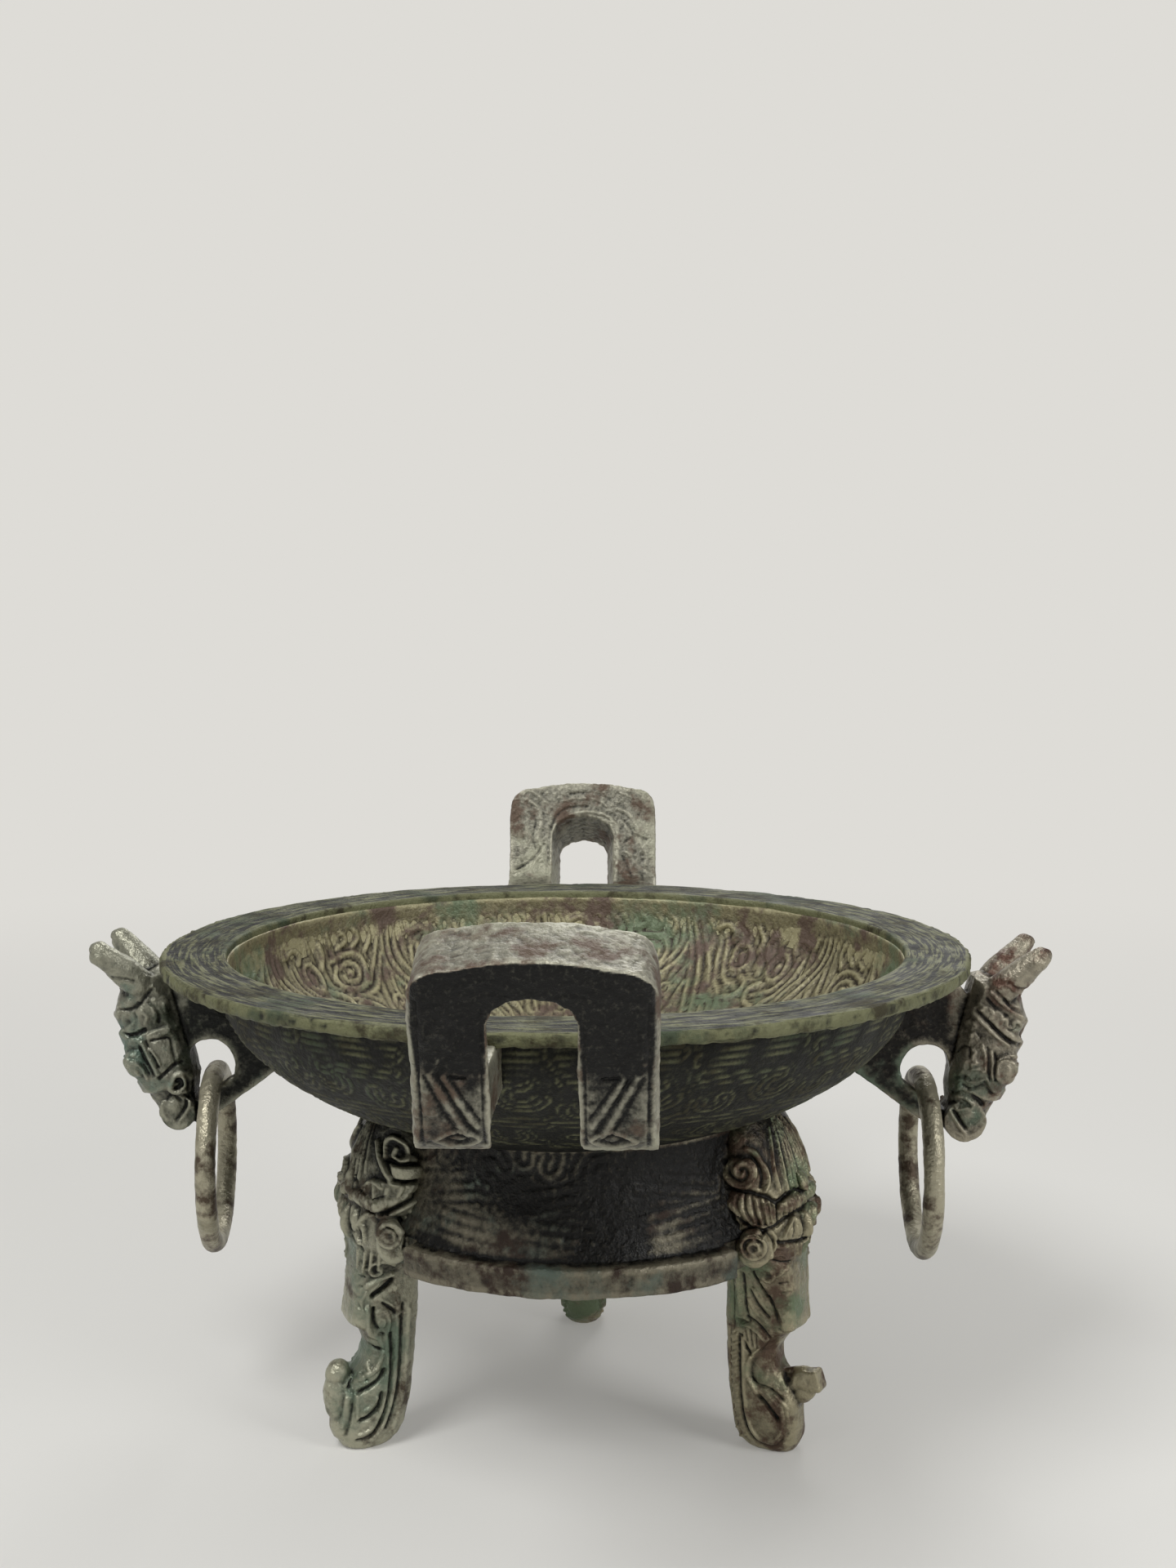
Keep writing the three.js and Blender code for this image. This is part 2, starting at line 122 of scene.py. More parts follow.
paper.node_tree.links.new(both.outputs[0], paper.node_tree.nodes["Material Output"].inputs["Surface"])
sweep.data.materials.append(paper)

bpy.context.scene.view_settings.view_transform = "Standard"
surround = bpy.data.worlds.new("studio_surround")
bpy.context.scene.world = surround
surround.use_nodes = True
even_light = surround.node_tree.nodes["Background"]
even_light.inputs["Color"].default_value = linear("#dcdcda")
even_light.inputs["Strength"].default_value = 0.42
backdrop = add_node(surround, "Background", Color=linear("#dedcd7"), Strength=1.0)
seen_directly = add_node(surround, "LightPath").outputs["Is Camera Ray"]
either = add_node(surround, "MixShader", _0=seen_directly, _1=even_light, _2=backdrop)
surround.node_tree.links.new(either.outputs[0], surround.node_tree.nodes["World Output"].inputs["Surface"])
for lamp_name, place, size, power in (
    ("main_softbox", (-0.55, -0.75, 1.35), 0.6, 15.0),
    ("right_softbox", (1.1, -0.7, 0.75), 0.5, 6.5),
    ("back_softbox", (0.2, 1.1, 1.1), 0.6, 6.0),
):
    bpy.ops.object.light_add(type="AREA", location=place)
    lamp = bpy.context.object
    lamp.name = lamp_name
    lamp.data.size = size
    lamp.data.energy = power
    lamp.rotation_euler = (Vector((0, 0, 0.1)) - Vector(place)).to_track_quat("-Z", "Y").to_euler()


# Basin
# One casting with the wide lip: a shallow round pan, its outside in low relief and nearly black, partly its
# dark patina and partly painted shade, its lip ground flat and streaked round. It follows the solid's own
# curve, and its wall of 2.5 mm is brought to 3.5 mm by the lining.
mm = 0.001
mouth_radius, rim_top, lip = 118.0, 167.0, 4.5
wall, lining_thickness, depth, floor_radius = 3.5, 1.0, 64.0, 41.0


def basin_wall(t, inward=0.0):
    """Radius and height in mm of the outer wall, from t = 0 at the lip to 1 at the floor, moved inward."""
    drop = depth - lip

    def at(share):
        share = min(max(share, 0.0), 1.0)
        out = floor_radius + (mouth_radius + wall - floor_radius) * (1 - share**2.3) ** 0.9
        return out, rim_top - lip - drop * share

    r, z = at(t)
    (r0, z0), (r1, z1) = at(t - 0.002), at(t + 0.002)
    length = math.hypot(r1 - r0, z1 - z0)
    return r + inward * (z1 - z0) / length, z - inward * (r1 - r0) / length


def wall_shares(count):
    """Even steps along the wall's curve, from the lip to the floor's edge."""
    fine = np.linspace(0, 1, 2000)
    path = np.array([basin_wall(t) for t in fine])
    run = np.concatenate([[0], np.cumsum(np.hypot(*np.diff(path, axis=0).T))])
    return np.interp(np.linspace(0, run[-1], count), run, fine)


def take_up(piece):
    """Puts a new piece in the scene and selects it alone."""
    bpy.context.collection.objects.link(piece)
    bpy.ops.object.select_all(action="DESELECT")
    bpy.context.view_layer.objects.active = piece
    piece.select_set(True)


def turn_on_the_wheel(name, profile, steps):
    """Turns a profile of [radius, height] in mm, closed or ending on the axis, about the upright axis."""
    shape = bpy.data.meshes.new(name)
    rows = [(r * mm, 0, z * mm) for r, z in profile]
    shape.from_pydata(rows, [(i, i + 1) for i in range(len(rows) - 1)], [])
    piece = bpy.data.objects.new(name, shape)
    take_up(piece)
    apply_modifier(
        piece, "SCREW", steps=steps, render_steps=steps, use_merge_vertices=True, merge_threshold=0.02 * mm
    )
    bpy.ops.object.mode_set(mode="EDIT")
    bpy.ops.mesh.select_all(action="SELECT")
    bpy.ops.mesh.normals_make_consistent(inside=False)
    bpy.ops.object.mode_set(mode="OBJECT")
    bpy.ops.object.shade_smooth()
    return piece


def corners_of(piece):
    """The mesh's vertices and their normals as two arrays, in mm and unit length."""
    count = len(piece.data.vertices)
    places, normals = np.zeros(count * 3), np.zeros(count * 3)
    piece.data.vertices.foreach_get("co", places)
    piece.data.vertices.foreach_get("normal", normals)
    return places.reshape(-1, 3) / mm, normals.reshape(-1, 3)


def move_to(piece, places):
    """Moves the mesh's vertices to the places given in mm."""
    piece.data.vertices.foreach_set("co", (places * mm).ravel())
    piece.data.update()


def polar(places):
    """How far each place is from the upright axis, in mm, and which way round it, in radians."""
    return np.hypot(places[:, 0], places[:, 1]), np.arctan2(places[:, 1], places[:, 0])


def chase(piece, height, reach=1.5, contrast=0.32, shade_and_tone=0.0):
    """Raises the surface along its normals by height in mm, then marks what stands proud as worn.

    The wear runs from 0 in the hollows to 1 on the ridges: it is how far each point stands out from
    the surface averaged over about reach mm, and contrast is the step in mm that takes it all the way.
    The last argument paints the metal that much darker where it is above 0 and lighter below 0: mostly
    painted shade and painted light, and on the lip and the foot partly the metal's own darker tone.
    """
    places, normals = corners_of(piece)
    move_to(piece, places + normals * height[:, None])
    places, normals = corners_of(piece)
    ends = np.zeros(len(piece.data.edges) * 2, np.int64)
    piece.data.edges.foreach_get("vertices", ends)
    first, second = ends.reshape(-1, 2).T
    shared = np.maximum(np.bincount(ends, minlength=len(places)), 1)
    step = np.mean(np.linalg.norm(places[first] - places[second], axis=1))
    even = places.copy()
    for _ in range(max(int((reach / step) ** 2 * 2), 3)):
        for axis in range(3):
            pulled = np.bincount(first, even[second, axis], len(places))
            pulled += np.bincount(second, even[first, axis], len(places))
            even[:, axis] = pulled / shared
    proud = np.sum((places - even) * normals, axis=1)
    worn = piece.data.attributes.new("wear_and_shade", "FLOAT", "POINT")
    worn.data.foreach_set("value", np.clip(0.5 + proud / contrast - shade_and_tone, 0, 1).astype(np.float32))


def rough(places, size, seed, octaves=3):
    """Soft noise from about -1 to 1 with features of about size mm."""
    total, strength = np.zeros(len(places)), 1.0
    for octave in range(octaves):
        at = places / size * 2**octave + seed * 13.7
        cell = np.floor(at).astype(np.int64)
        part = at - cell
        part = part * part * (3 - 2 * part)
        for corner in np.ndindex(2, 2, 2):
            x, y, z = (cell + corner).T
            mixed = (x * 73856093) ^ (y * 19349663) ^ (z * 83492791)
            mixed = (mixed ^ (mixed >> 13)) * 1274126177 & 0x7FFFFFFF
            share = np.prod(np.where(np.array(corner) == 1, part, 1 - part), axis=1)
            total += strength * share * ((mixed ^ (mixed >> 16)) % 20011 / 10005.5 - 1)
        strength *= 0.5
    return total


def off_line(u, v, x0, y0, x1, y1):
    """Distance in mm from each point of a flat pattern to a straight line between two ends."""
    length = max((x1 - x0) ** 2 + (y1 - y0) ** 2, 1e-9)
    along = np.clip(((u - x0) * (x1 - x0) + (v - y0) * (y1 - y0)) / length, 0, 1)
    return np.hypot(u - x0 - along * (x1 - x0), v - y0 - along * (y1 - y0))


def distance_to_marks(u, v, marks):
    """Distance in mm from each point of a flat pattern to the nearest mark: a dot, a line or an arc."""
    nearest = np.full(len(u), 1e9)
    for kind, *at in marks:
        if kind == "dot":
            away = np.hypot(u - at[0], v - at[1])
        elif kind == "line":
            away = off_line(u, v, *at)
        else:
            cx, cy, radius, start, sweep_by = at
            turn = np.mod(np.arctan2(v - cy, u - cx) - math.radians(start), 2 * math.pi)
            span = math.radians(sweep_by)
            on_arc = np.abs(np.hypot(u - cx, v - cy) - radius)
            ends = np.full(len(u), 1e9)
            for end in (math.radians(start), math.radians(start + sweep_by)):
                off_end = np.hypot(u - cx - radius * math.cos(end), v - cy - radius * math.sin(end))
                ends = np.minimum(ends, off_end)
            away = np.where(turn <= span, on_arc, ends)
        nearest = np.minimum(nearest, away)
    return nearest


def units_round(u, length, units, looseness):
    """Each point's place in its own and the next units of a frieze, then the unit's drop and its number.

    Every unit is mirrored or shifted a little, as by hand.
    """
    width = length / units
    hand = np.random.default_rng(7)
    shifts = hand.uniform(-looseness, looseness, (units, 2))
    mirrored = hand.integers(0, 2, units) * 2 - 1
    own = np.floor(u / width + 0.5).astype(int)
    for neighbour in (-1, 0, 1):
        unit = own + neighbour
        which = np.mod(unit, units)
        yield (u - unit * width) * mirrored[which] + shifts[which, 0], shifts[which, 1], which


def frieze(u, v, length, unit_marks, units, looseness):
    """Distance in mm to a unit of marks that is repeated round a frieze."""
    nearest = np.full(len(u), 1e9)
    for local_u, drop, _ in units_round(u, length, units, looseness):
        nearest = np.minimum(nearest, distance_to_marks(local_u, v + drop, unit_marks))
    return nearest


def ripple(distance, spacing, reach):
    """Parallel ridges that follow the marks at one spacing and fade out beyond their reach."""
    ridge = 0.5 + 0.5 * np.cos(2 * math.pi * distance / spacing)
    return ridge**0.8 * np.clip(1.25 - distance / reach, 0.25, 1)


outer_wall = [basin_wall(t) for t in wall_shares(92)[::-1]]
profile = [(0, 103), (41, 103), (56, 105.4)] + [(r, z) for r, z in outer_wall if r > 64]
profile += [(127, 162.5), (133, 162.5), (139.0, 162.6), (139.7, 163.1), (140, 163.8), (140, 165.0)]
profile += [(140, 166.1), (139.7, 166.7), (139.1, 167)] + [(138 - 1.4 * i, 167) for i in range(14)]
profile += [(118.8, 167), (118.2, 166.7), (118, 166), (118, 164.4), (118, 162.6)]
profile += [basin_wall(t, wall - lining_thickness) for t in wall_shares(24)[1:]] + [(0, 105.5)]
basin = turn_on_the_wheel("basin", profile, 700)
places, normals = corners_of(basin)
radius, turn = polar(places)
outside = (normals[:, 2] < 0.3) & (places[:, 2] < 162.0) & (radius > 62)
outside &= (places[:, 0] * normals[:, 0] + places[:, 1] * normals[:, 1]) > 0
lip_top = (places[:, 2] > 166.9) & (radius > 118.5)
rim_edge = (radius > 138.9) & ~lip_top
band = [
    ("line", -17, 12, 17, 9), ("line", -15, 20, 6, 24), ("line", -20, 44, 18, 47), ("line", -20, 70, 16, 66),
    ("arc", 12, 30, 6, 20, 250), ("arc", -10, 36, 5, -40, 230), ("arc", 4, 58, 7, -30, 240),
    ("dot", -12, 57),
]
down_wall = np.interp(places[:, 2], [103, 115, 127, 139, 151, 162.5], [108, 79, 52, 34, 15, 0])
flow = frieze(turn * 118, down_wall, 2 * math.pi * 118, band, 18, 2.0)
low_relief = ripple(flow, 2.9, 9)
grain = np.column_stack([np.cos(turn) * 10, np.sin(turn) * 10, radius / 0.9])
streaks = rough(grain, 1.0, 2)
follows = basin.data.attributes.new("grain", "FLOAT_VECTOR", "POINT")
follows.data.foreach_set("vector", (grain * (lip_top | rim_edge)[:, None]).ravel().astype(np.float32))
pits = rough(places, 2.4, 1, 2)
height = np.where(outside, 0.6 * low_relief - 0.15, 0.0)
height = np.where(lip_top, 0.4 * np.clip(streaks, -0.9, 0.35), height)
height = np.where(rim_edge, 0.4 * pits, height)
# The outside wall is painted almost down to its dark ground as painted shade on the pan's underside; the lip
# top is a little darker in its own tone, the rest a little lighter.
chase(basin, height, shade_and_tone=np.where(outside, 0.85, np.where(lip_top, 0.28, -0.1)))


def cast_bronze(
    name, ground, worn, bloom, bloom_share, stain, stain_share, seed,
    roughness=0.44, metallic=0.45, dark=0.3, streaked=0.0,
):
    """Old cast bronze: a dark ground in the hollows, worn metal on the ridges, and corrosion in patches.

    The shares are how much of it blooms and stains cover, and dark is the brightness left in the hollows.
    """
    bronze = bpy.data.materials.new(name)
    bronze.use_nodes = True
    shader = bronze.node_tree.nodes["Principled BSDF"]
    link = bronze.node_tree.links.new
    place = add_node(bronze, "TexCoord").outputs["Object"]
    moved = add_node(bronze, "Mapping", Vector=place, Location=(seed * 0.37, seed * 0.11, seed * 0.23))
    # The wear attribute also carries the painted shade and painted light given to chase.
    relief_wear_and_shade = add_node(bronze, "Attribute", {"attribute_name": "wear_and_shade"}).outputs["Fac"]

    # Ragged blooms of corrosion are about 35 mm across, stains 14 mm, pocks 3.5 mm and grit 1.3 mm.
    blooms = add_node(bronze, "TexNoise", Vector=moved, Scale=1 / 0.035, Detail=7.0, Roughness=0.62)
    stains = add_node(bronze, "TexNoise", Vector=moved, Scale=1 / 0.014, Detail=6.0, Roughness=0.65)
    grit = add_node(bronze, "TexNoise", Vector=moved, Scale=1 / 0.0013, Detail=3.0, Roughness=0.6)
    pocks = add_node(bronze, "TexVoronoi", Vector=moved, Scale=1 / 0.0035)
    uneven = add_node(bronze, "Math", {"operation": "MULTIPLY_ADD"}, _0=grit, _1=0.7, _2=relief_wear_and_shade)
    if streaked:
        # Streaks 0.9 mm apart that run round the lip, read from where each point lies along it.
        along = add_node(bronze, "Attribute", {"attribute_name": "grain"}).outputs["Vector"]
        streaks = add_node(bronze, "TexNoise", Vector=along, Scale=1.0, Detail=4.0, Roughness=0.6)
        streaks = add_node(
            bronze, "MapRange", Value=streaks,
            From_Min=0.38, From_Max=0.62, To_Min=-streaked, To_Max=streaked,
        )
        uneven = add_node(bronze, "Math", {"operation": "ADD"}, _0=streaks, _1=uneven)
    wear_and_shade_mask = add_node(bronze, "MapRange", Value=uneven, From_Min=0.38, From_Max=1.25)
    blend = {"data_type": "RGBA"}
    colour = add_node(bronze, "Mix", blend, _0=wear_and_shade_mask, _6=linear(ground), _7=linear(worn)).outputs[2]
    # Stains and then blooms lie over the metal, but not in its hollows nor where it is darkened as painted
    # shade.
    clear_of_hollows_and_shade = add_node(bronze, "MapRange", Value=relief_wear_and_shade, From_Min=0.0, From_Max=0.3)
    for patches, least, share, tint in (
        (stains, 0.64, stain_share, stain), (blooms, 0.62, bloom_share, bloom)
    ):
        start, full = least - 0.3 * share, least + 0.1 - 0.3 * share
        mask = add_node(bronze, "MapRange", Value=patches, From_Min=start, From_Max=full)
        mask = add_node(bronze, "Math", {"operation": "MULTIPLY"}, _0=mask, _1=clear_of_hollows_and_shade)
        colour = add_node(bronze, "Mix", blend, _0=mask, _6=colour, _7=linear(tint)).outputs[2]
    # Hollows, and faces darkened as painted shade, stay dark even under a stain or a bloom.
    dark_in_hollows_and_shade = add_node(bronze, "MapRange", Value=uneven, From_Min=0.25, From_Max=0.8, To_Min=dark)
    multiply = {"data_type": "RGBA", "blend_type": "MULTIPLY"}
    shaded = add_node(bronze, "Mix", multiply, _0=1.0, _6=colour, _7=dark_in_hollows_and_shade)
    link(shaded.outputs[2], shader.inputs["Base Color"])
    gloss = add_node(
        bronze, "MapRange", Value=stains,
        From_Min=0.3, From_Max=0.7, To_Min=roughness - 0.1, To_Max=roughness + 0.16,
    )
    link(gloss.outputs[0], shader.inputs["Roughness"])
    shader.inputs["Metallic"].default_value = metallic
    pitting = add_node(bronze, "Math", {"operation": "MULTIPLY_ADD"}, _0=pocks, _1=0.5, _2=grit)
    bump = add_node(bronze, "Bump", Height=pitting, Strength=0.75, Distance=0.0007)
    link(bump.outputs["Normal"], shader.inputs["Normal"])
    return bronze


basin_colours = ("#17180d", "#6f7051", "#414b37", 0.26, "#3c3824", 0.42, 1)
basin.data.materials.append(cast_bronze("basin_cast_bronze", *basin_colours, 0.62, 0.3, streaked=0.6))
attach(basin, "vessel")
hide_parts("bowl")


# Basin lining
# The inside is cast in higher relief than the outside: coiled beasts in rounded ridges that run round
# their eyes, with upright bundles of ridges between them, under a plain neck. It is ochre and mauve.
inner = [basin_wall(t, wall) for t in wall_shares(84)]
inner = [(r, z) for r, z in inner if r > 40]
back_of_lining = [basin_wall(t, wall - 0.9) for t in wall_shares(8)[-2:0:-1]]
lining_profile = [(0, 105.2), (floor_radius, 105.2)] + back_of_lining
lining_profile += [(118.2, 163.0), (118.2, 164.2), (117.6, 164.6), (117.3, 163.9)]
lining_profile += [(min(r, 117.4), z) for r, z in inner] + [(r, 106.5) for r in (36, 30, 23, 15, 7, 0)]
lining = turn_on_the_wheel("basin_lining", lining_profile, 900)
places, normals = corners_of(lining)
radius, turn = polar(places)
facing_in = (places[:, 0] * normals[:, 0] + places[:, 1] * normals[:, 1]) < 0
facing_in |= normals[:, 2] > 0.5
inner_run = np.concatenate([[0], np.cumsum(np.hypot(*np.diff(np.array(inner), axis=0).T))])
down = np.interp(-places[:, 2], [-z for _, z in inner], inner_run)


def smooth_path(path, steps=5):
    """A curve through the given points, as many short straight pieces."""
    points = np.array([path[0], *path, path[-1]], float)
    share = np.linspace(0, 1, steps, endpoint=False)[:, None]
    pieces = []
    for a, b, c, d in zip(points, points[1:], points[2:], points[3:]):
        bend, twist = 2 * a - 5 * b + 4 * c - d, 3 * b - a - 3 * c + d
        pieces.append(0.5 * (2 * b + (c - a) * share + bend * share**2 + twist * share**3))
    return np.vstack([*pieces, points[-1]])


def drawn(u, v, strokes):
    """Height in mm of strokes on a flat view: each a half width, a rise (below 0 it cuts) and its points."""
    raised, cut = np.zeros(len(u)), np.zeros(len(u))
    for half_width, rise, *path in strokes:
        curve = smooth_path(np.reshape(path, (-1, 2)))
        low, high = curve.min(axis=0) - half_width, curve.max(axis=0) + half_width
        near = np.flatnonzero((u > low[0]) & (u < high[0]) & (v > low[1]) & (v < high[1]))
        near_u, near_v = u[near], v[near]
        away = np.full(len(near), 1e9)
        for end, next_end in zip(curve, curve[1:]):
            away = np.minimum(away, off_line(near_u, near_v, *end, *next_end))
        shape = rise * np.clip(1 - (away / half_width) ** 2, 0, 1)
        if rise > 0:
            raised[near] = np.maximum(raised[near], shape)
        else:
            cut[near] = np.minimum(cut[near], shape)
    return raised + cut


# One unit of coiled beasts, as across it and down the wall.
beast_strokes = [
    (1.3, 1.2, 0, 4, 0, 12, 1, 19, 4, 27, 8, 36, 11, 46, 12, 58, 10, 72),
    (1.2, 1, -2.8, 4, -2.6, 12, -1.8, 19, 0.6, 28, 4.4, 38, 7, 50, 8, 60),
    (1.2, 1, 2.8, 5, 3, 11, 4.2, 17, 7.8, 25, 12.4, 34), (1.2, 1.1, -3.4, 16, -6, 24, -11, 31, -16, 33),
    (1.2, 1, -4.8, 9, -6.8, 18, -11, 25.5, -13, 28), (1.1, 1, -0.6, 25, -3, 32, -5.6, 42, -7, 54),
    (1.1, 0.9, 1.4, 34, 0.6, 44, 0, 56),
    (1.2, 1.2, -10, 41, -6.6, 36.6, -3.4, 38, -3.2, 41.6, -5.6, 42.8, -6.8, 41),
    (1.4, 1.3, -28, 16, -20, 14.2, -14, 15.4, -11.8, 20.6, -14, 27.4, -20, 29.6, -26.4, 28, -28.4, 23, -26,
     19),
    (1.2, 1.1, -24.6, 19.6, -20.6, 17.8, -16.4, 19, -15.2, 22.4, -17.6, 25.8, -22.4, 26, -24, 23),
    (1.8, 1.4, -20.4, 21.8, -19.4, 22.2), (1.3, 1.1, -31, 33, -24, 35, -18, 41, -15, 52, -15, 66),
    (1.2, 1, -31, 39, -25.6, 42, -21, 49, -19.4, 60), (1.2, 1, -31, 46, -27.4, 50, -24.6, 58),
    (1.3, 1.3, 16.8, 20.4, 18, 15.4, 22, 14.6, 24.6, 19, 23.4, 24.4, 19.6, 26, 16.8, 23.4, 16.8, 20.4),
    (1.5, 1.1, 20.2, 19, 20.8, 21.8), (1.8, 1.4, 9.6, 9, 13.6, 7.6, 17, 10, 16, 13),
    (1.7, 1.3, 28, 7.4, 29.6, 12, 27.6, 17), (1.6, 1.3, 24.6, 28.4, 29, 32, 28.4, 38, 23, 40.4),
    (1.2, 1, 13, 14, 13.4, 22, 16.6, 29.4, 22, 33.4),
    (1.2, 1, 10.2, 15, 10.4, 23, 14, 32, 19.4, 37.8, 23, 46, 24, 60), (1.1, 1, 15.6, 44, 16.8, 60),
    (1.1, 1, 19.6, 45, 20.6, 62), (1.5, 1.3, -9.4, 4.6, -8, 9, -10.4, 13.6),
    (1.5, 1.2, -15.4, 4.8, -13.6, 8.4, -16.4, 11.6), (1.4, 1.2, -22, 5, -19.4, 8.6, -24, 11.4),
    (1.4, 1.1, -28.8, 5, -27.4, 9.5), (1.4, 1.2, 6, 5, 7.4, 9.4), (1.3, 1.1, 21, 5, 23, 9.4),
]
beast_units, frieze_radius = 11, 108
across, frieze_length = turn * frieze_radius, 2 * math.pi * frieze_radius
relief = np.zeros(len(places))
for local_u, drop, which in units_round(across, frieze_length, beast_units, 1.6):
    wavering = local_u + 1.4 * np.sin(down / 7 + which)
    relief = np.maximum(relief, drawn(wavering, down + drop, beast_strokes))
beast = [
    ("line", 0, 3, 0, 22), ("line", 0, 22, -6, 52), ("line", 0, 22, 6, 52), ("line", 31.4, 2, 30, 24),
    ("line", -24, 44, -14, 60), ("dot", -20, 22), ("dot", 20.5, 20), ("dot", 22, 66), ("dot", -20, 72),
    ("arc", 10, 52, 3.6, 180, 200),
]
flow = frieze(across, down, frieze_length, beast, beast_units, 1.6)
filler = ripple(flow, 3.7, 30) * np.clip(1 - relief / 0.5, 0, 1)
below_neck = np.clip((down - 4.0) / 1.5, 0, 1)
off_floor = np.clip((radius - 33) / 8, 0, 1)
height = (relief + 0.55 * filler - 0.3) * below_neck * off_floor
height = height + 0.35 * rough(places, 13, 3, 1) + 0.1 * rough(places, 3, 4, 2)
chase(lining, np.where(facing_in, height, 0), reach=1.9, contrast=0.8)
lining_colours = ("#3d3326", "#a8a17f", "#6f7c62", 0.32, "#68584d", 0.46, 4)
lining.data.materials.append(cast_bronze("lining_ochre_bronze", *lining_colours, metallic=0.3, dark=0.5))
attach(lining, "vessel")


# Ring foot
# The low ring that the basin stands in was cast as one with it: a wall that runs in a hollow curve
# down to a plain band, 5 mm thick and open underneath, and set 3.7 mm off the basin's centre line.
foot_shift = 3.7
stand_height, foot_band_top, foot_neck_top = 68.2, 78.2, 115.0
foot_radius, foot_flare, foot_neck, foot_wall = 82.5, 78.0, 68.0, 5.0


def foot_wall_radius(z):
    """Radius of the foot's outside above its band, in mm."""
    up = (z - foot_band_top) / (foot_neck_top - foot_band_top)
    return foot_neck + (foot_flare - foot_neck) * (1 - up) ** 2


outside_rows = [(foot_wall_radius(z), z) for z in np.linspace(foot_band_top + 0.4, 112.6, 70)]
foot_profile = [(foot_radius - 7.5, 68.6), (foot_radius - 7.0, stand_height)]
foot_profile += [(foot_radius - 1.2, stand_height), (foot_radius - 0.3, 68.5), (foot_radius, 69.3)]
foot_profile += [(foot_radius, z) for z in np.linspace(70.2, 76.6, 12)]
foot_profile += [(foot_radius - 0.2, 77.5), (foot_radius - 1.0, 78.0), (foot_radius - 3.0, 78.2)]
foot_profile += outside_rows
foot_profile += [(foot_wall_radius(z) - foot_wall, z) for z in np.linspace(111.5, 80.0, 12)]
foot_profile += [(foot_radius - 7.5, 75.0), foot_profile[0]]
foot = turn_on_the_wheel("ring_foot", foot_profile, 640)
places, normals = corners_of(foot)
_, turn = polar(places)
outward = (places[:, 0] * normals[:, 0] + places[:, 1] * normals[:, 1]) > 0
faded = ripple(frieze(turn * 72, places[:, 2] - 76, 2 * math.pi * 72, band, 12, 2.0), 3.4, 20)
faded *= np.clip((places[:, 2] - 80) / 3, 0, 1) * np.clip(0.6 + 0.8 * rough(places, 16, 6, 1), 0, 1)
height = np.where(outward, 0.4 * faded + 0.3 * rough(places, 7.0, 5) + 0.12 * rough(places, 1.8, 8, 1), 0)
# The wall above the band is darkened in broad random patches: partly the metal's own uneven tone, partly
# painted shade under the basin.
shaded = np.clip(0.45 - 0.7 * rough(places, 22.0, 9, 2), 0, 0.7) * (places[:, 2] > 79)
chase(foot, height, contrast=0.5, shade_and_tone=shaded)
# The band is notched back to the wall at each leg, so that the head's eyes stand clear of it.
places, _ = corners_of(foot)
notch_half, notch_radius = 30.5, foot_flare - 2
for leg_turn in (0.0, 117.0, -117.0):
    c, s = math.cos(math.radians(leg_turn)), math.sin(math.radians(leg_turn))
    beside_leg = places[:, 0] * c + places[:, 1] * s
    before_leg = places[:, 1] * c - places[:, 0] * s
    radius, _ = polar(places)
    notch = (np.abs(beside_leg) < notch_half) & (before_leg > 0)
    notch &= (places[:, 2] < 79) & (radius > notch_radius)
    places[notch, :2] *= (notch_radius / radius[notch])[:, None]
move_to(foot, places)
foot.data.transform(Matrix.Translation((foot_shift * mm, 0, 0)))
foot_colours = ("#110f0a", "#7d7765", "#59645a", 0.26, "#35281f", 0.46, 7)
foot.data.materials.append(cast_bronze("foot_purple_brown_bronze", *foot_colours, 0.42))
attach(foot, "vessel")
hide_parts("foot_ring")


# Ears
# Two straps of cast bronze, 22 mm thick, that come out from under the lip, turn up at an elbow and
# lean outward. Each is opened by an arched window, and its corners and edges are worn round.
def packed_shape(node, name):
    """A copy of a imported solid's own shape, its loose triangles joined up, to be cast and worked on."""
    piece = bpy.data.objects.new(name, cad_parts[node].data.copy())
    piece.data.materials.clear()
    take_up(piece)
    bpy.ops.object.mode_set(mode="EDIT")
    bpy.ops.mesh.select_all(action="SELECT")
    bpy.ops.mesh.remove_doubles(threshold=0.00001)
    bpy.ops.object.mode_set(mode="OBJECT")
    return piece


def cast_in_one(parts, name, voxel, rounds):
    """Joins overlapping shapes into one skin of even faces, voxel mm across, and softens its edges."""
    bpy.ops.object.select_all(action="DESELECT")
    for part in parts:
        part.select_set(True)
    bpy.context.view_layer.objects.active = parts[0]
    if len(parts) > 1:
        bpy.ops.object.join()
    whole = bpy.context.view_layer.objects.active
    whole.name = name
    apply_modifier(whole, "REMESH", mode="VOXEL", voxel_size=voxel * mm)
    apply_modifier(whole, "SMOOTH", iterations=rounds)
    bpy.ops.object.shade_smooth()
    return whole


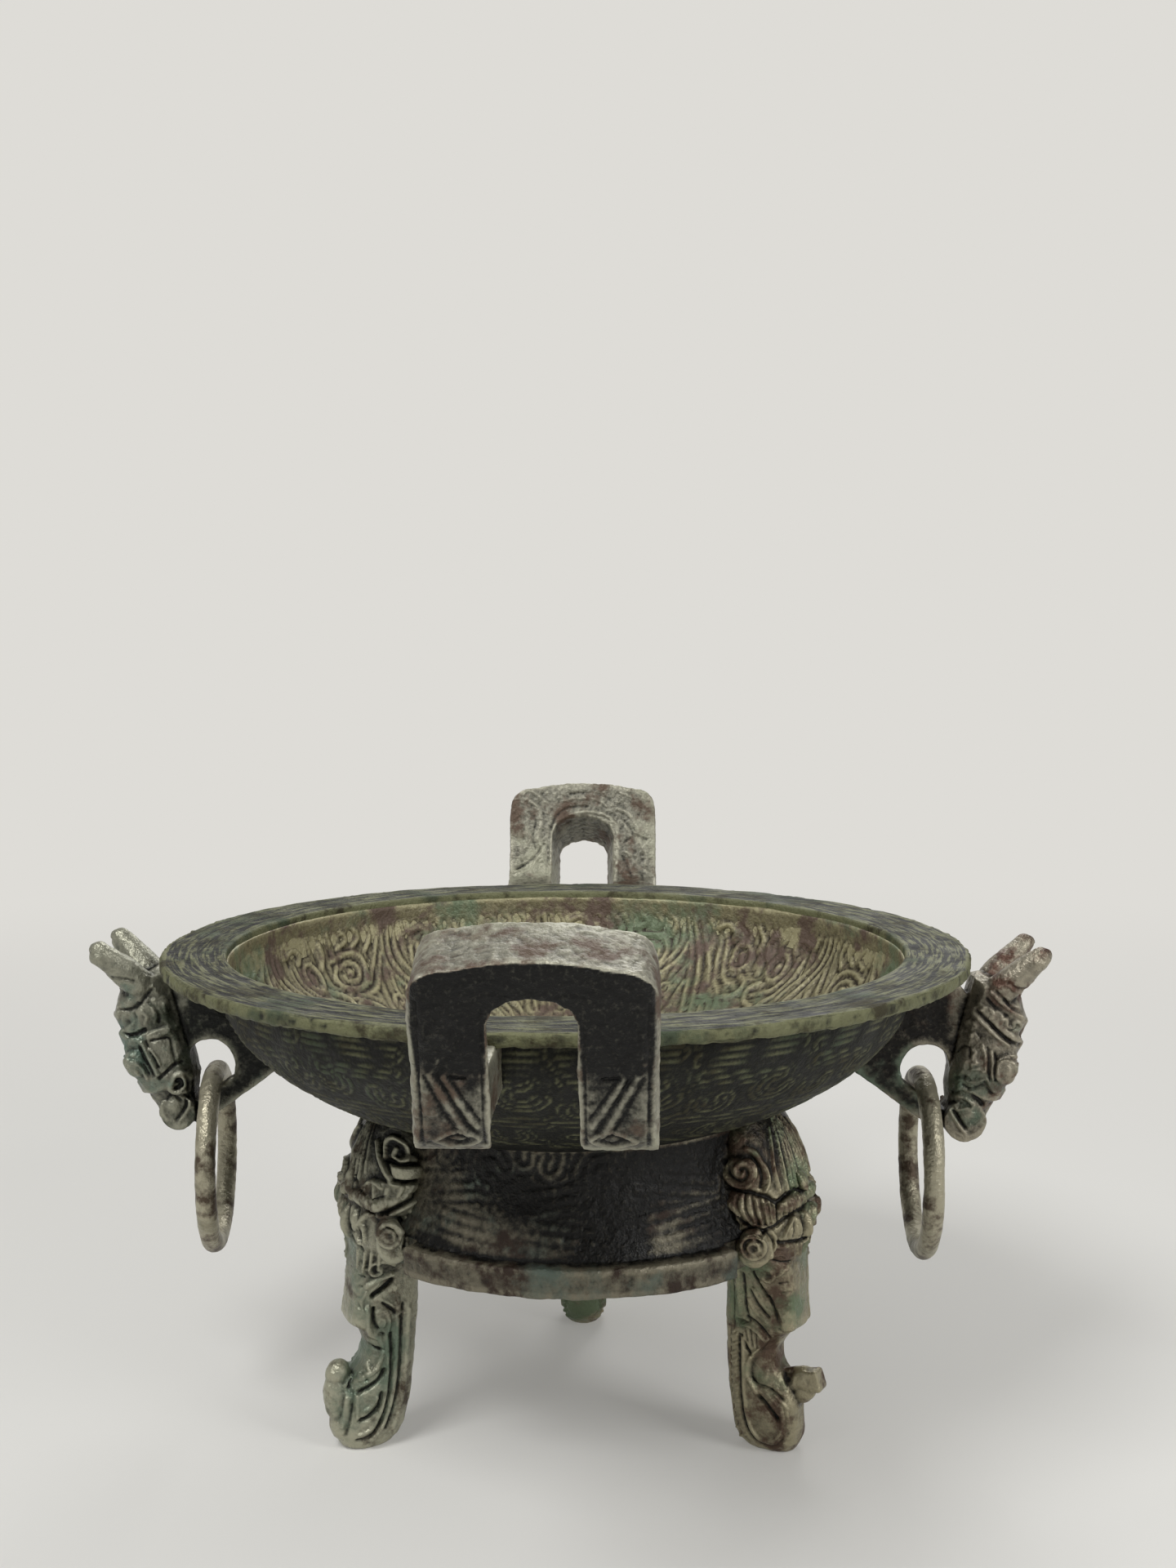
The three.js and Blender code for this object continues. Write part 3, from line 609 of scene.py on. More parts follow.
# Strokes on the faces, as across and down from the top: one half of the outer one, then the inner one.
front_ear_strokes = [
    (0.7, 0.4, 17.4, 20, 21.6, 27, 25.6, 34.6), (1, 0.7, 25.6, 34.8, 21.4, 43.6, 16.9, 53),
    (0.5, -0.6, 24, 35, 19.8, 43.2, 15.4, 51.6), (0.5, -0.4, 17, 23, 20.6, 29, 23.8, 34.6),
    (0.9, 0.6, 22.4, 35, 18.4, 42.6, 14.4, 49.6), (0.5, 0.3, 16.6, 26, 19.6, 30.6, 22.2, 34.8),
    (0.5, -0.6, 20.8, 35.6, 17.2, 41.8, 13.6, 47.6), (0.5, -0.6, 27.2, 35, 23, 44.6, 18.6, 53.4),
    (0.7, -1.1, 17, 35.6, 20.8, 35.2), (0.8, 0.9, 25.4, 55, 19.6, 51.4, 14, 54.4, 19.4, 57.4, 25.4, 55),
    (0.6, -0.9, 22.4, 54.6, 19.6, 53, 16.8, 54.6, 19.4, 56, 22.4, 54.6),
    (0.5, -0.7, 28.4, 14, 28.6, 36, 28.4, 58), (0.5, -0.6, 12.6, 16, 12.7, 36, 12.8, 57),
    (0.8, 0.35, 6, 9.6, 11, 8.2, 18, 10, 21.6, 14.4, 19.6, 18.4, 16, 17.6, 16.4, 14.8),
    (0.7, 0.3, 12, 5, 18, 6, 24, 10, 26.6, 16), (0.7, -0.35, 6, 12, 11, 11.4, 14.4, 13.4),
    (0.6, 0.35, 23.6, 20, 26, 25, 26.6, 29), (0.6, -0.35, 22.4, 16, 25, 20, 26, 24),
]
front_ear_strokes += [(0.9, 0.7, 30, 17 + 2.7 * bead, 30, 18 + 2.7 * bead) for bead in range(15)]
rear_ear_strokes = [
    (1, 1.1, -13.9, 46, -13.2, 24, -9.8, 17, 0, 13.8, 9.6, 14.9, 14.7, 19.4, 15.7, 26, 15, 46),
    (0.7, -0.9, -15.9, 46, -15.3, 25.7, -12.4, 16.3, -6.5, 11.8, 2, 11.2),
    (1.1, 0.8, -26, 8, -20.6, 11.2, -18.8, 18.5, -20.3, 25.7, -18, 31, -18.6, 38),
    (0.9, 0.7, -23, 4.6, -17.2, 8.6, -15.8, 14), (0.7, -0.8, -24.6, 14, -21.4, 18, -22.6, 26, -21, 31),
    (0.8, -1, -17.6, 29, -23, 36, -29.6, 40), (0.9, 0.8, -19, 33.6, -24, 40, -30, 43),
    (1.2, 0.9, -28.6, 20, -28.4, 29, -27.2, 35), (0.8, 0.7, -25.4, 22, -25, 30),
    (1.1, 0.8, 16, 12, 21.7, 15.6, 25.4, 23.6, 27, 31), (0.7, -0.8, 18.6, 17.6, 22, 22, 23.6, 28),
    (0.8, -0.9, 18.6, 27.6, 23.9, 25, 28.8, 26.4), (0.9, 0.8, 19.8, 32, 24.4, 37.6, 29, 41.6),
    (1.1, 0.8, 27.9, 29.3, 28.6, 38), (0.8, -0.8, 18, 34, 21.4, 41, 22, 46),
    (0.7, -0.6, -6, 5.6, 2, 4.6, 9, 6.2, 13, 9), (0.8, 0.6, -9, 8.6, -2, 7.4, 6, 8.2, 10.6, 11),
    (0.7, 0.6, 17, 5, 23, 7.4, 27.4, 13),
]
# The flat views run down the strap from its top outer edge.
ear_slope = math.radians(18.8)
slope_cos, slope_sin = math.cos(ear_slope), math.sin(ear_slope)
top_edge_out, top_edge_up = 205.7, 199.6
arm_underside, strap_half_width, corner_round = 145.5, 31.2, 5
for node, name, facing in (("ear_front", "front_ear", -1), ("ear_rear", "rear_ear", 1)):
    ear = cast_in_one([packed_shape(node, name)], name, 0.5, 5)
    places, _ = corners_of(ear)
    x, outward, up = places[:, 0], places[:, 1] * facing, places[:, 2]
    behind = -((outward - top_edge_out) * slope_cos - (up - top_edge_up) * slope_sin)
    # The lower outer corner of the strap's arms, and then its upright edges, are worn round.
    for lower, beside in ((True, up - arm_underside), (False, strap_half_width - np.abs(x))):
        corner = (beside < corner_round) & (behind < corner_round) & (behind > -2)
        if lower:
            corner &= up < 152
        reach = np.hypot(corner_round - beside, corner_round - behind)
        over = (reach - corner_round) / np.maximum(reach, 1e-6)
        pull = np.where(corner & (reach > corner_round), over, 0)
        inwards = pull * (corner_round - behind)
        places[:, 1] -= facing * inwards * slope_cos
        places[:, 2] += inwards * slope_sin
        if lower:
            places[:, 2] += pull * (corner_round - beside)
        else:
            places[:, 0] -= np.sign(x) * pull * (corner_round - beside)
    move_to(ear, places)
    places, normals = corners_of(ear)
    x, outward, up = places[:, 0], places[:, 1] * facing, places[:, 2]
    run = -((outward - top_edge_out) * slope_sin + (up - top_edge_up) * slope_cos)
    out_facing = normals[:, 1] * facing * slope_cos - normals[:, 2] * slope_sin
    outer_face, inner_face = np.clip(out_facing * 3 - 1.6, 0, 1), np.clip(-out_facing * 3 - 1.6, 0, 1)
    carved = outer_face * drawn(np.abs(x), run + 2.6, front_ear_strokes)
    carved += 0.6 * inner_face * drawn(x, run, rear_ear_strokes)
    height = 0.8 * carved + 0.22 * rough(places, 1.8, 10, 2) + 0.35 * rough(places, 11.0, 12, 1)
    # The outer face is painted nearly black down to its elbow, as painted shade under the strap's outward
    # lean, and less dark below.
    in_shade = outer_face * np.clip(1.0 - (run - 22) / 22, 0.3, 1.0)
    chase(ear, height, reach=1.8, contrast=1.3, shade_and_tone=in_shade)
    ear_colours = ("#12110c", "#a8a593", "#a3a28e", 0.3, "#5f5043", 0.48, 11)
    ear.data.materials.append(cast_bronze(name + "_grey_tan_bronze", *ear_colours, dark=0.2))
    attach(ear, "vessel")
    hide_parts(node)


# Legs
# Three solid castings, each an elephant's head against the foot whose trunk runs down to the table
# and curls out near its end. Lines are cut and raised over all of it, light on dark hollows.
leg_circle = 80.5


def raise_by_rows(rows, count=44):
    """Extrudes a disc up through rows of z, back, front and half width in mm, and squareness."""
    bpy.ops.object.select_all(action="DESELECT")
    bpy.ops.mesh.primitive_circle_add(vertices=count, radius=1, fill_type="NGON")
    body = bpy.context.object
    bpy.ops.object.mode_set(mode="EDIT")
    bpy.ops.mesh.select_mode(type="VERT")
    bpy.ops.mesh.select_all(action="SELECT")
    turns = {}
    for number, (z, back, front, half, squareness) in enumerate(rows):
        if number:
            bpy.ops.mesh.extrude_region_move()
        work = bmesh.from_edit_mesh(body.data)
        work.verts.index_update()
        work.verts.ensure_lookup_table()
        for vertex in [vertex for vertex in work.verts if vertex.select]:
            below = [edge.other_vert(vertex).index for edge in vertex.link_edges] if number else []
            below = [index for index in below if index in turns and not work.verts[index].select]
            turn = turns[below[0]] if below else math.atan2(vertex.co.y, vertex.co.x)
            turns[vertex.index] = turn
            c, s = math.cos(turn), math.sin(turn)
            size = (abs(c) ** squareness + abs(s) ** squareness) ** (-1 / squareness)
            vertex.co = Vector((half * c * size, (back + front) / 2 + (front - back) / 2 * s * size, z)) * mm
        bmesh.update_edit_mesh(body.data)
    bpy.ops.mesh.select_all(action="SELECT")
    bpy.ops.mesh.normals_make_consistent(inside=False)
    bpy.ops.object.mode_set(mode="OBJECT")
    return body


def rows_between(heights, rows):
    """More rows between the given ones, each size running straight from one row to the next."""
    given = np.array(rows, float)
    return [(z, *[np.interp(z, given[:, 0], given[:, i]) for i in (1, 2, 3, 4)]) for z in heights]


def lump(place, size, turn=(0, 0, 0), kind="ball"):
    """A ball, a block or a round bar of the given half sizes in mm, turned by degrees, to be cast on."""
    bpy.ops.object.select_all(action="DESELECT")
    at = [value * mm for value in place]
    angles = [math.radians(value) for value in turn]
    set_down = {"location": at, "rotation": angles}
    if kind == "ball":
        bpy.ops.mesh.primitive_uv_sphere_add(segments=32, ring_count=20, radius=mm, **set_down)
    elif kind == "block":
        bpy.ops.mesh.primitive_cube_add(size=2 * mm, **set_down)
    else:
        bpy.ops.mesh.primitive_cylinder_add(vertices=36, radius=mm, depth=2 * mm, **set_down)
    made = bpy.context.object
    made.scale = size
    bpy.ops.object.transform_apply(location=True, rotation=True, scale=True)
    if kind != "ball":
        apply_modifier(made, "BEVEL", width=0.8 * mm, segments=3, limit_method="ANGLE")
    return made


def hoop(place, radius, thickness, turn=(0, 90, 0)):
    """A round bar bent into a circle, to be cast into the rest as a raised rim."""
    bpy.ops.object.select_all(action="DESELECT")
    bpy.ops.mesh.primitive_torus_add(
        location=[value * mm for value in place], rotation=[math.radians(value) for value in turn],
        major_radius=radius * mm, minor_radius=thickness * mm, major_segments=48, minor_segments=14,
    )
    bpy.ops.object.transform_apply(location=True, rotation=True, scale=True)
    return bpy.context.object


def plateau(u, v, outline, rise, edge=0.6):
    """A field raised or sunk by rise mm inside an outline of points, with a short slope all round."""
    corners = np.reshape(outline, (-1, 2))
    corners = smooth_path([*corners, corners[0]], 3)
    inside = np.zeros(len(u), bool)
    away = np.full(len(u), 1e9)
    for (x0, y0), (x1, y1) in zip(corners, corners[1:]):
        away = np.minimum(away, off_line(u, v, x0, y0, x1, y1))
        crosses = (y0 > v) != (y1 > v)
        inside ^= crosses & (u < (x1 - x0) * (v - y0) / (y1 - y0 if y1 != y0 else 1e-9) + x0)
    return rise * np.clip(0.5 + np.where(inside, away, -away) / edge, 0, 1)


trunk_rows = [
    (0, -11.5, 3.5, 5.5, 2.2), (1, -13.2, 4.6, 6.7, 2.4), (3.5, -15.6, 5.9, 7.8, 2.6),
    (7, -17.2, 6.4, 8.3, 2.8), (18.4, -19, 6.4, 8.8, 2.9), (24.5, -19.3, 3.2, 8.6, 2.9),
    (29.3, -19.5, -1, 8.4, 3), (35.5, -19.6, -1.6, 8.2, 3), (41, -19.7, 2, 8.7, 3),
    (44.2, -19.7, 6.6, 9, 3.6), (45.2, -19.7, 7, 9.2, 3.8), (60, -19.3, 6.2, 10, 3.2),
    (67.9, -18.5, 5.8, 12, 3),
]
head_rows = [
    (60, -14, 5, 8, 3), (65, -16, 5.8, 11.6, 2.8), (69, -18, 6, 14.6, 2.6), (74, -19, 6.4, 19, 2.4),
    (80.5, -20, 6.6, 21, 2.3), (90.3, -20, 5.4, 21.5, 2.2), (100, -20, 3, 20.5, 2.1),
    (109.9, -19, -1.4, 18, 2.1), (117.2, -17, -6, 13, 2.1), (122, -15, -9, 9, 2.1),
]
# Strokes round a head, as the way round from its middle line and up.
right_head_strokes = [
    (1, 1, 2.6, 118, 2.6, 104, 1.9, 93), (1, 1, 5.8, 118, 5.9, 104, 4.4, 92),
    (1, 1, 9.9, 118, 9.5, 103, 7.6, 91.6), (1, 1, 14.7, 118, 14.2, 102, 12.3, 92.4),
    (1, 1, 20.2, 112, 19.5, 102.6, 18.7, 98, 17.3, 93.4),
    (1, 1.1, 30.5, 107.6, 27, 106, 25, 103.3, 23.1, 101.1, 22, 98.5, 22.2, 96.2, 23.2, 94.2),
    (0.8, -0.9, 29, 105.6, 26.6, 103.6, 25, 101.4, 24.2, 98.6, 24.6, 95.6),
    (1.1, 1.2, 37, 99.2, 34.6, 96.9, 31.8, 95.6, 29, 96, 27, 98.3, 26.8, 101.2, 28.6, 103.5, 31.2, 103.3,
     32.6, 101.4, 31.8, 99.6, 30.2, 99.4),
    (0.8, -1.1, 35.6, 101.2, 34, 98.8, 31.6, 97.4, 29.4, 98.4, 28.7, 100.6, 29.8, 101.9, 31, 101.2),
    (1, -1.3, 38, 94.8, 31.5, 94, 28, 94, 24.9, 93.1, 22.3, 92.3, 18.9, 90.3, 13.5, 91.6, 7, 92.2, 3.2,
     90.9, 0, 89.4),
    (0.6, -0.9, 31.8, 92.4, 31.4, 88.6, 30, 86), (0.6, -0.9, 29.5, 92.8, 28.8, 88.6, 27.2, 85),
    (0.6, -0.9, 27.4, 92.8, 26.3, 88.6, 24.9, 83.6), (0.6, -0.9, 25.2, 92.2, 24.2, 88.8, 22.9, 83.4),
    (0.6, -0.9, 23, 91.6, 22.2, 88.8, 21.4, 84), (0.6, -0.9, 21, 90.4, 20.8, 88, 20.4, 85),
    (1, -1.3, 36, 89.2, 32.4, 86, 28.6, 83.6, 25.5, 81.6, 22.2, 82, 19, 82.8, 16.4, 83.8, 12.2, 85.1, 7,
     85.4, 3.7, 84.4, 0, 84.8),
    (0.8, -1, 18.8, 90, 19.4, 87, 18.6, 83.6), (0.6, -0.8, 16.6, 89, 15.9, 85.4),
    (0.6, -0.8, 14.4, 90, 13.5, 85.8), (0.6, -0.8, 12.2, 90.4, 11.2, 86.4),
    (0.6, -0.8, 10, 90.6, 9.2, 86.4), (0.6, -0.8, 7.8, 90.6, 7, 86.4), (0.6, -0.8, 5.6, 90.2, 5.1, 86.2),
    (0.9, 1, 16.4, 78.4, 14, 81.6, 11, 83.4, 8.6, 80.6, 7.4, 77.6), (0.6, -0.7, 11.2, 82, 11.6, 78),
    (0.6, 0.7, 12.8, 80.4, 13.6, 77.6), (0.6, 0.7, 10, 80.4, 9.6, 77.2),
    (0.9, -1.1, 18.8, 77.4, 17.3, 76.3, 13.2, 75.7, 3.3, 74.4, 0, 74.8),
    (0.9, 0.9, 32.4, 80, 30, 82.2, 26.6, 83.2, 22.6, 82, 19.8, 79.2, 19.4, 76, 21, 72.8),
    (0.8, 0.8, 19.4, 75.6, 16.4, 74.4, 13.6, 75), (0.7, 0.7, 20.4, 71.8, 17, 72.2, 14.4, 70.8),
    (0.7, -0.8, 20.4, 70, 16.2, 68.8, 10.3, 68.2), (0.6, 0.7, 7.2, 73.6, 5.8, 69.8),
    (0.6, 0.7, 3, 73.4, 2.6, 69), (0.6, 0.7, 11.2, 74.2, 9.8, 70.4),
]
left_head_strokes = [
    (1, 1, 2.4, 116, 2.6, 106, 2.4, 100), (1.1, 1.2, 4.4, 100.6, 4.4, 94.4),
    (1, 1, 7.2, 116, 8.4, 102, 8.8, 94.4), (1.1, 1.1, 6.4, 92, 6.6, 87.2),
    (1, 0.6, 13.4, 114, 14, 102, 14.2, 97),
    (1.5, 1.7, 22, 107, 23.4, 103, 25.5, 99.6, 27.5, 96.8, 29, 95.6),
    (1, 1.1, 25.6, 103.6, 26.4, 108, 29.5, 109.6, 32.8, 107.8, 33.4, 104.6, 31, 102.8, 28.8, 104.2, 29.8,
     106.4),
    (0.8, -1, 24.4, 104.6, 25, 108.4, 28, 111, 31.6, 111),
    (1, -1.3, 26.6, 102.8, 29.6, 102.2, 33.6, 101.8, 38, 101.2),
    (1, -1.4, 28.6, 96.8, 31.5, 96.4, 38, 95.9),
    (1.1, -1.6, 38, 92.8, 34.3, 91, 30.4, 89.1, 26.8, 87.2, 22.6, 85.4, 18, 85.6, 14.4, 87.8, 13.4, 91),
    (0.9, 1, 15.9, 90.2, 17, 93, 19.2, 94.8, 22.1, 95.2, 24.6, 94), (0.8, 0.9, 18, 92.2, 19, 88.8),
    (0.8, 0.9, 22, 94, 22.4, 88.4), (0.8, 0.8, 26.6, 94, 25.6, 88.8), (0.8, 0.7, 30.6, 94.4, 29, 90.2),
    (0.8, 0.8, 33.8, 94.6, 31.8, 91.6), (0.9, 1.1, 25, 85, 27, 85.8, 29.9, 87.2, 33.8, 89.2, 37, 91.2),
    (1.2, 1.2, 13.8, 80.4, 15.6, 82.4, 18.2, 84.4), (1.1, 1.1, 15.8, 79.6, 16.2, 74.6),
    (1, -1.1, 12.2, 84.6, 12.6, 79, 13.2, 74), (1.1, 1.1, 9.8, 83.6, 9.4, 77.4), (1, 1, 6.2, 84, 5.6, 79),
    (1.1, 1.1, 9.4, 75.4, 12.6, 73.2), (1, -1.1, 4, 73.4, 9, 72.4, 14, 71),
    (1, 0.9, 19.4, 84.2, 22.4, 85, 26.4, 84, 29, 81), (0.8, -0.9, 29.6, 84, 31.4, 80, 30.4, 75),
    (0.8, 0.7, 33, 86, 34, 80, 33, 74), (0.7, 0.7, 32, 84, 36, 83), (0.7, 0.7, 31.6, 78, 35, 76),
    (1, 1.1, 16.2, 70.4, 13.7, 63), (1, 1.1, 19.4, 70.4, 17.4, 64.3), (1, 1.1, 22.9, 70.4, 21.5, 64),
    (0.8, 0.8, 10.2, 70, 9.4, 64),
]
# Strokes on the side of a leg, as outward from the legs' circle and up.
nose_strokes = [
    (0.7, 0.9, -7.6, 65.2, -4.8, 66.9, -2.3, 67.3, -0.2, 66, 0.2, 63.3, -1.4, 61.7, -3.4, 62.5, -2.9, 64.4),
    (0.6, 0.7, -4.2, 61.2, -3.2, 58.9, -1.6, 57), (0.6, 0.7, 1.2, 63.8, 2.8, 65.6, 4.4, 66.2),
    (0.5, -0.6, 1.6, 61, 3.8, 61.4), (0.5, -0.5, 2.2, 57.6, 4.4, 58), (0.5, -0.5, 3, 54, 4.8, 54.2),
]
right_trunk_strokes = nose_strokes + [
    (1, -1.1, -9.4, 71, -8, 67.5, -6.5, 62.8, -3.8, 58.6, -1.1, 54.6, 0.9, 49.6, 2, 44.4),
    (1.1, 0.8, -13.2, 66, -13.2, 57, -12.8, 52.8, -12.5, 48), (0.7, -0.8, -15.6, 62, -15.2, 50, -15.2, 42),
    (0.7, -0.8, -11, 62, -10.7, 56, -10.2, 50.5, -8.8, 45.6),
    (0.8, -0.9, -9.8, 47.2, -6.9, 45.7, -4.3, 43.4, -2.2, 40.6),
    (0.6, -0.8, -8.6, 56.6, -5.6, 51.8, -1.9, 48.2), (0.6, 0.6, -7.4, 57.4, -4.6, 53, -0.8, 49.6),
    (0.6, 0.6, -9.2, 53.4, -6.6, 49.4, -3, 46.2),
    (0.8, 0.7, -13.4, 43.2, -10, 44.2, -6.7, 42.3, -4.1, 39.6),
    (0.6, -0.7, -13.6, 45.4, -11.5, 45.4, -9.6, 44.8), (0.5, -0.6, -10.8, 42.6, -10.2, 38.4),
    (0.5, -0.6, -8.9, 42.4, -8.4, 37), (0.5, -0.6, -7, 41.2, -6.8, 37),
    (0.7, -0.9, -12.2, 40, -11.2, 37.6, -10.1, 35.4, -8.6, 33.6),
    (0.8, 0.9, -3.2, 40, -4.7, 37.1, -7.7, 34.5, -9.5, 31.4, -10.2, 27.2, -8.9, 24.2, -7.2, 21.8, -5.8, 20),
    (0.7, -1, -8.6, 25.4, -6.1, 23.7, -2.8, 23.2, 0.3, 21.8, 2.6, 19.8),
    (1.1, -1.5, -5.6, 19.8, -3.1, 17.5, -0.9, 14.9, 0.9, 12.8), (0.6, 0.6, -2.8, 21, 0.2, 18.4, 2.7, 15.4),
    (0.6, 0.6, -0.4, 21.2, 2.2, 19, 3.9, 16.6),
    (0.8, 0.9, -11.7, 39, -11.5, 32.6, -11.2, 24.2, -10.6, 17.1, -9.2, 10.1, -6.8, 5.9, -3.3, 4.6, -0.2,
     5.8, 1.9, 9.2, 2.5, 13.4, 1.9, 17.2),
    (0.7, -0.8, -13.1, 40, -13, 26.6, -12.4, 18.1, -11, 10.2, -8.6, 5.2, -4.4, 2.6, 0.6, 3.2, 4, 8),
    (0.6, -0.8, -16.6, 42, -16.6, 24, -15.8, 14, -13.4, 6.4, -10, 2.6),
    (0.6, 0.5, 3.6, 16, 4.3, 11, 3.2, 6),
]
# Ticks down the back edge.
for tick in range(13):
    down = 39.5 - 2.9 * tick
    back_of_tick = float(np.interp(down, [3, 8, 16, 24], [-12.4, -14.6, -15.7, -16.1]))
    right_trunk_strokes.append((0.6, 0.7, back_of_tick, down - 1, back_of_tick + 2.4, down + 0.4))
left_trunk_strokes = nose_strokes + [
    (1.1, 1.2, 0.7, 57.7, -2, 59.6, -4.7, 60.8, -7.6, 61.6),
    (1.3, -1.9, -1.4, 54.4, -3.6, 55.8, -5.6, 57.2, -7.4, 58.8),
    (0.9, -1, 6.4, 45.6, 3, 41.2, 0, 37.6, -3, 35.6, -6.4, 34.8),
    (0.9, 1, -0.2, 50.6, -0.5, 45.4, -2.4, 41, -5.2, 38.6, -6.8, 35.4),
    (0.8, -1, -1.8, 50, -2.2, 45.6, -3.8, 42.4, -6.2, 40.2),
    (0.7, 0.7, -2.4, 48.2, -5.8, 48.6, -8, 44.4, -7.2, 40.6, -4.4, 41.6),
    (0.6, 0.6, -4.2, 46.2, -6, 45.2, -6, 43), (0.8, 0.8, 0.2, 33.2, -1.4, 30, -2.4, 26.6),
    (0.8, -0.9, 1.4, 30, 0.4, 27.2, -1, 25),
    (1.1, 1.3, 5, 22.6, 2.3, 24.7, -0.7, 25.9, -4.1, 28, -5.8, 31.6, -6.6, 35),
    (1.1, -1.5, 1.5, 21, -2, 22.6, -5.1, 24.6, -6.9, 27.4), (0.9, 0.8, 1.8, 19.6, 1.8, 16, 1.5, 11.6),
    (1, -1.3, 0.8, 11.2, -1.9, 12, -5.4, 15.2, -6.4, 19.6), (0.8, 0.8, -0.6, 14.6, -3.1, 15.8, -4.6, 18.4),
    (0.8, 0.9, -6.9, 40, -7.8, 35, -8, 29, -7.6, 20.6, -6.2, 13, -3, 7.6, 0.6, 6.2),
    (0.7, -0.9, -8.6, 40, -9.3, 33, -9.2, 26, -8.6, 18, -7, 11, -3.6, 5.4, 1.4, 4),
    (0.9, 0.9, -10.4, 52, -10.6, 44, -10.9, 37, -10.7, 25.5, -9.6, 15.7, -7, 7.7, -3.4, 3.4),
    (0.7, -0.9, -12.2, 50, -12.6, 37, -12.4, 25, -11.2, 15, -8.6, 7),
    (1, 0.9, -14.6, 48, -14.9, 36, -14.6, 24, -13.2, 13, -10.6, 5.6),
    (0.7, 0.7, -4.3, 53, -8.7, 50, -12.7, 46.8), (0.7, -0.8, -5, 51.4, -8.6, 48.4, -12, 45),
    (0.8, 0.8, 4.9, 21.4, 5.2, 16, 5.9, 9), (0.7, -0.7, 3.6, 21, 3.8, 14, 4.8, 6),
    (0.6, 0.6, 3.2, 59, 4.6, 55, 3.4, 51), (0.6, 0.6, 0.8, 55.6, 2, 52, 0.8, 49),
]
bridge_field = (-8.6, 69, -6.5, 63, -3.8, 59, -1.1, 55, 0.9, 49.6, 2, 44, 12, 44, 12, 69)
curl_field = (-3.4, 39, -7.5, 33.6, -9.2, 30, -9.4, 26.4, -7.6, 24.6, -2.8, 23.8, 0, 22.5, 4, 25, 4, 38)
left_nose_field = (7, 50, -0.4, 50, -0.8, 45, -2.6, 40.8, -5.2, 38, -6.4, 35.4, -3, 36.4, 0, 38.4, 3, 42)
left_leaf_field = (
    38, 95.2, 34.3, 95.5, 30.1, 95.6, 24.4, 96, 20, 95.4, 16, 92.6, 14.8, 89.4, 18.3, 86.6, 22.6, 86.2,
    26.8, 88, 30.4, 89.9, 34.3, 92,
)
left_box_field = (27.4, 101.6, 32.6, 101.2, 37, 100.3, 37, 97, 31.5, 97.2, 28.6, 97.6)
brow_field = (
    36, 93, 31, 93, 28, 93, 24, 92, 20.4, 90.4, 19.9, 87.5, 19.4, 83.8, 22.2, 82.8, 25.5, 82.4, 28.8, 84.4,
    32, 86.6, 35, 89,
)
fore_field = (18.2, 89.6, 13.5, 90.9, 7, 91.6, 3.4, 90, 3.4, 85.6, 8, 86.2, 12.2, 85.8, 16.6, 84.8)
diamond_field = (11, 84.4, 14.6, 81.8, 17.4, 78.6, 17.4, 77.2, 12, 76.6, 5, 75.4, 4, 79.5, 7, 82.7)
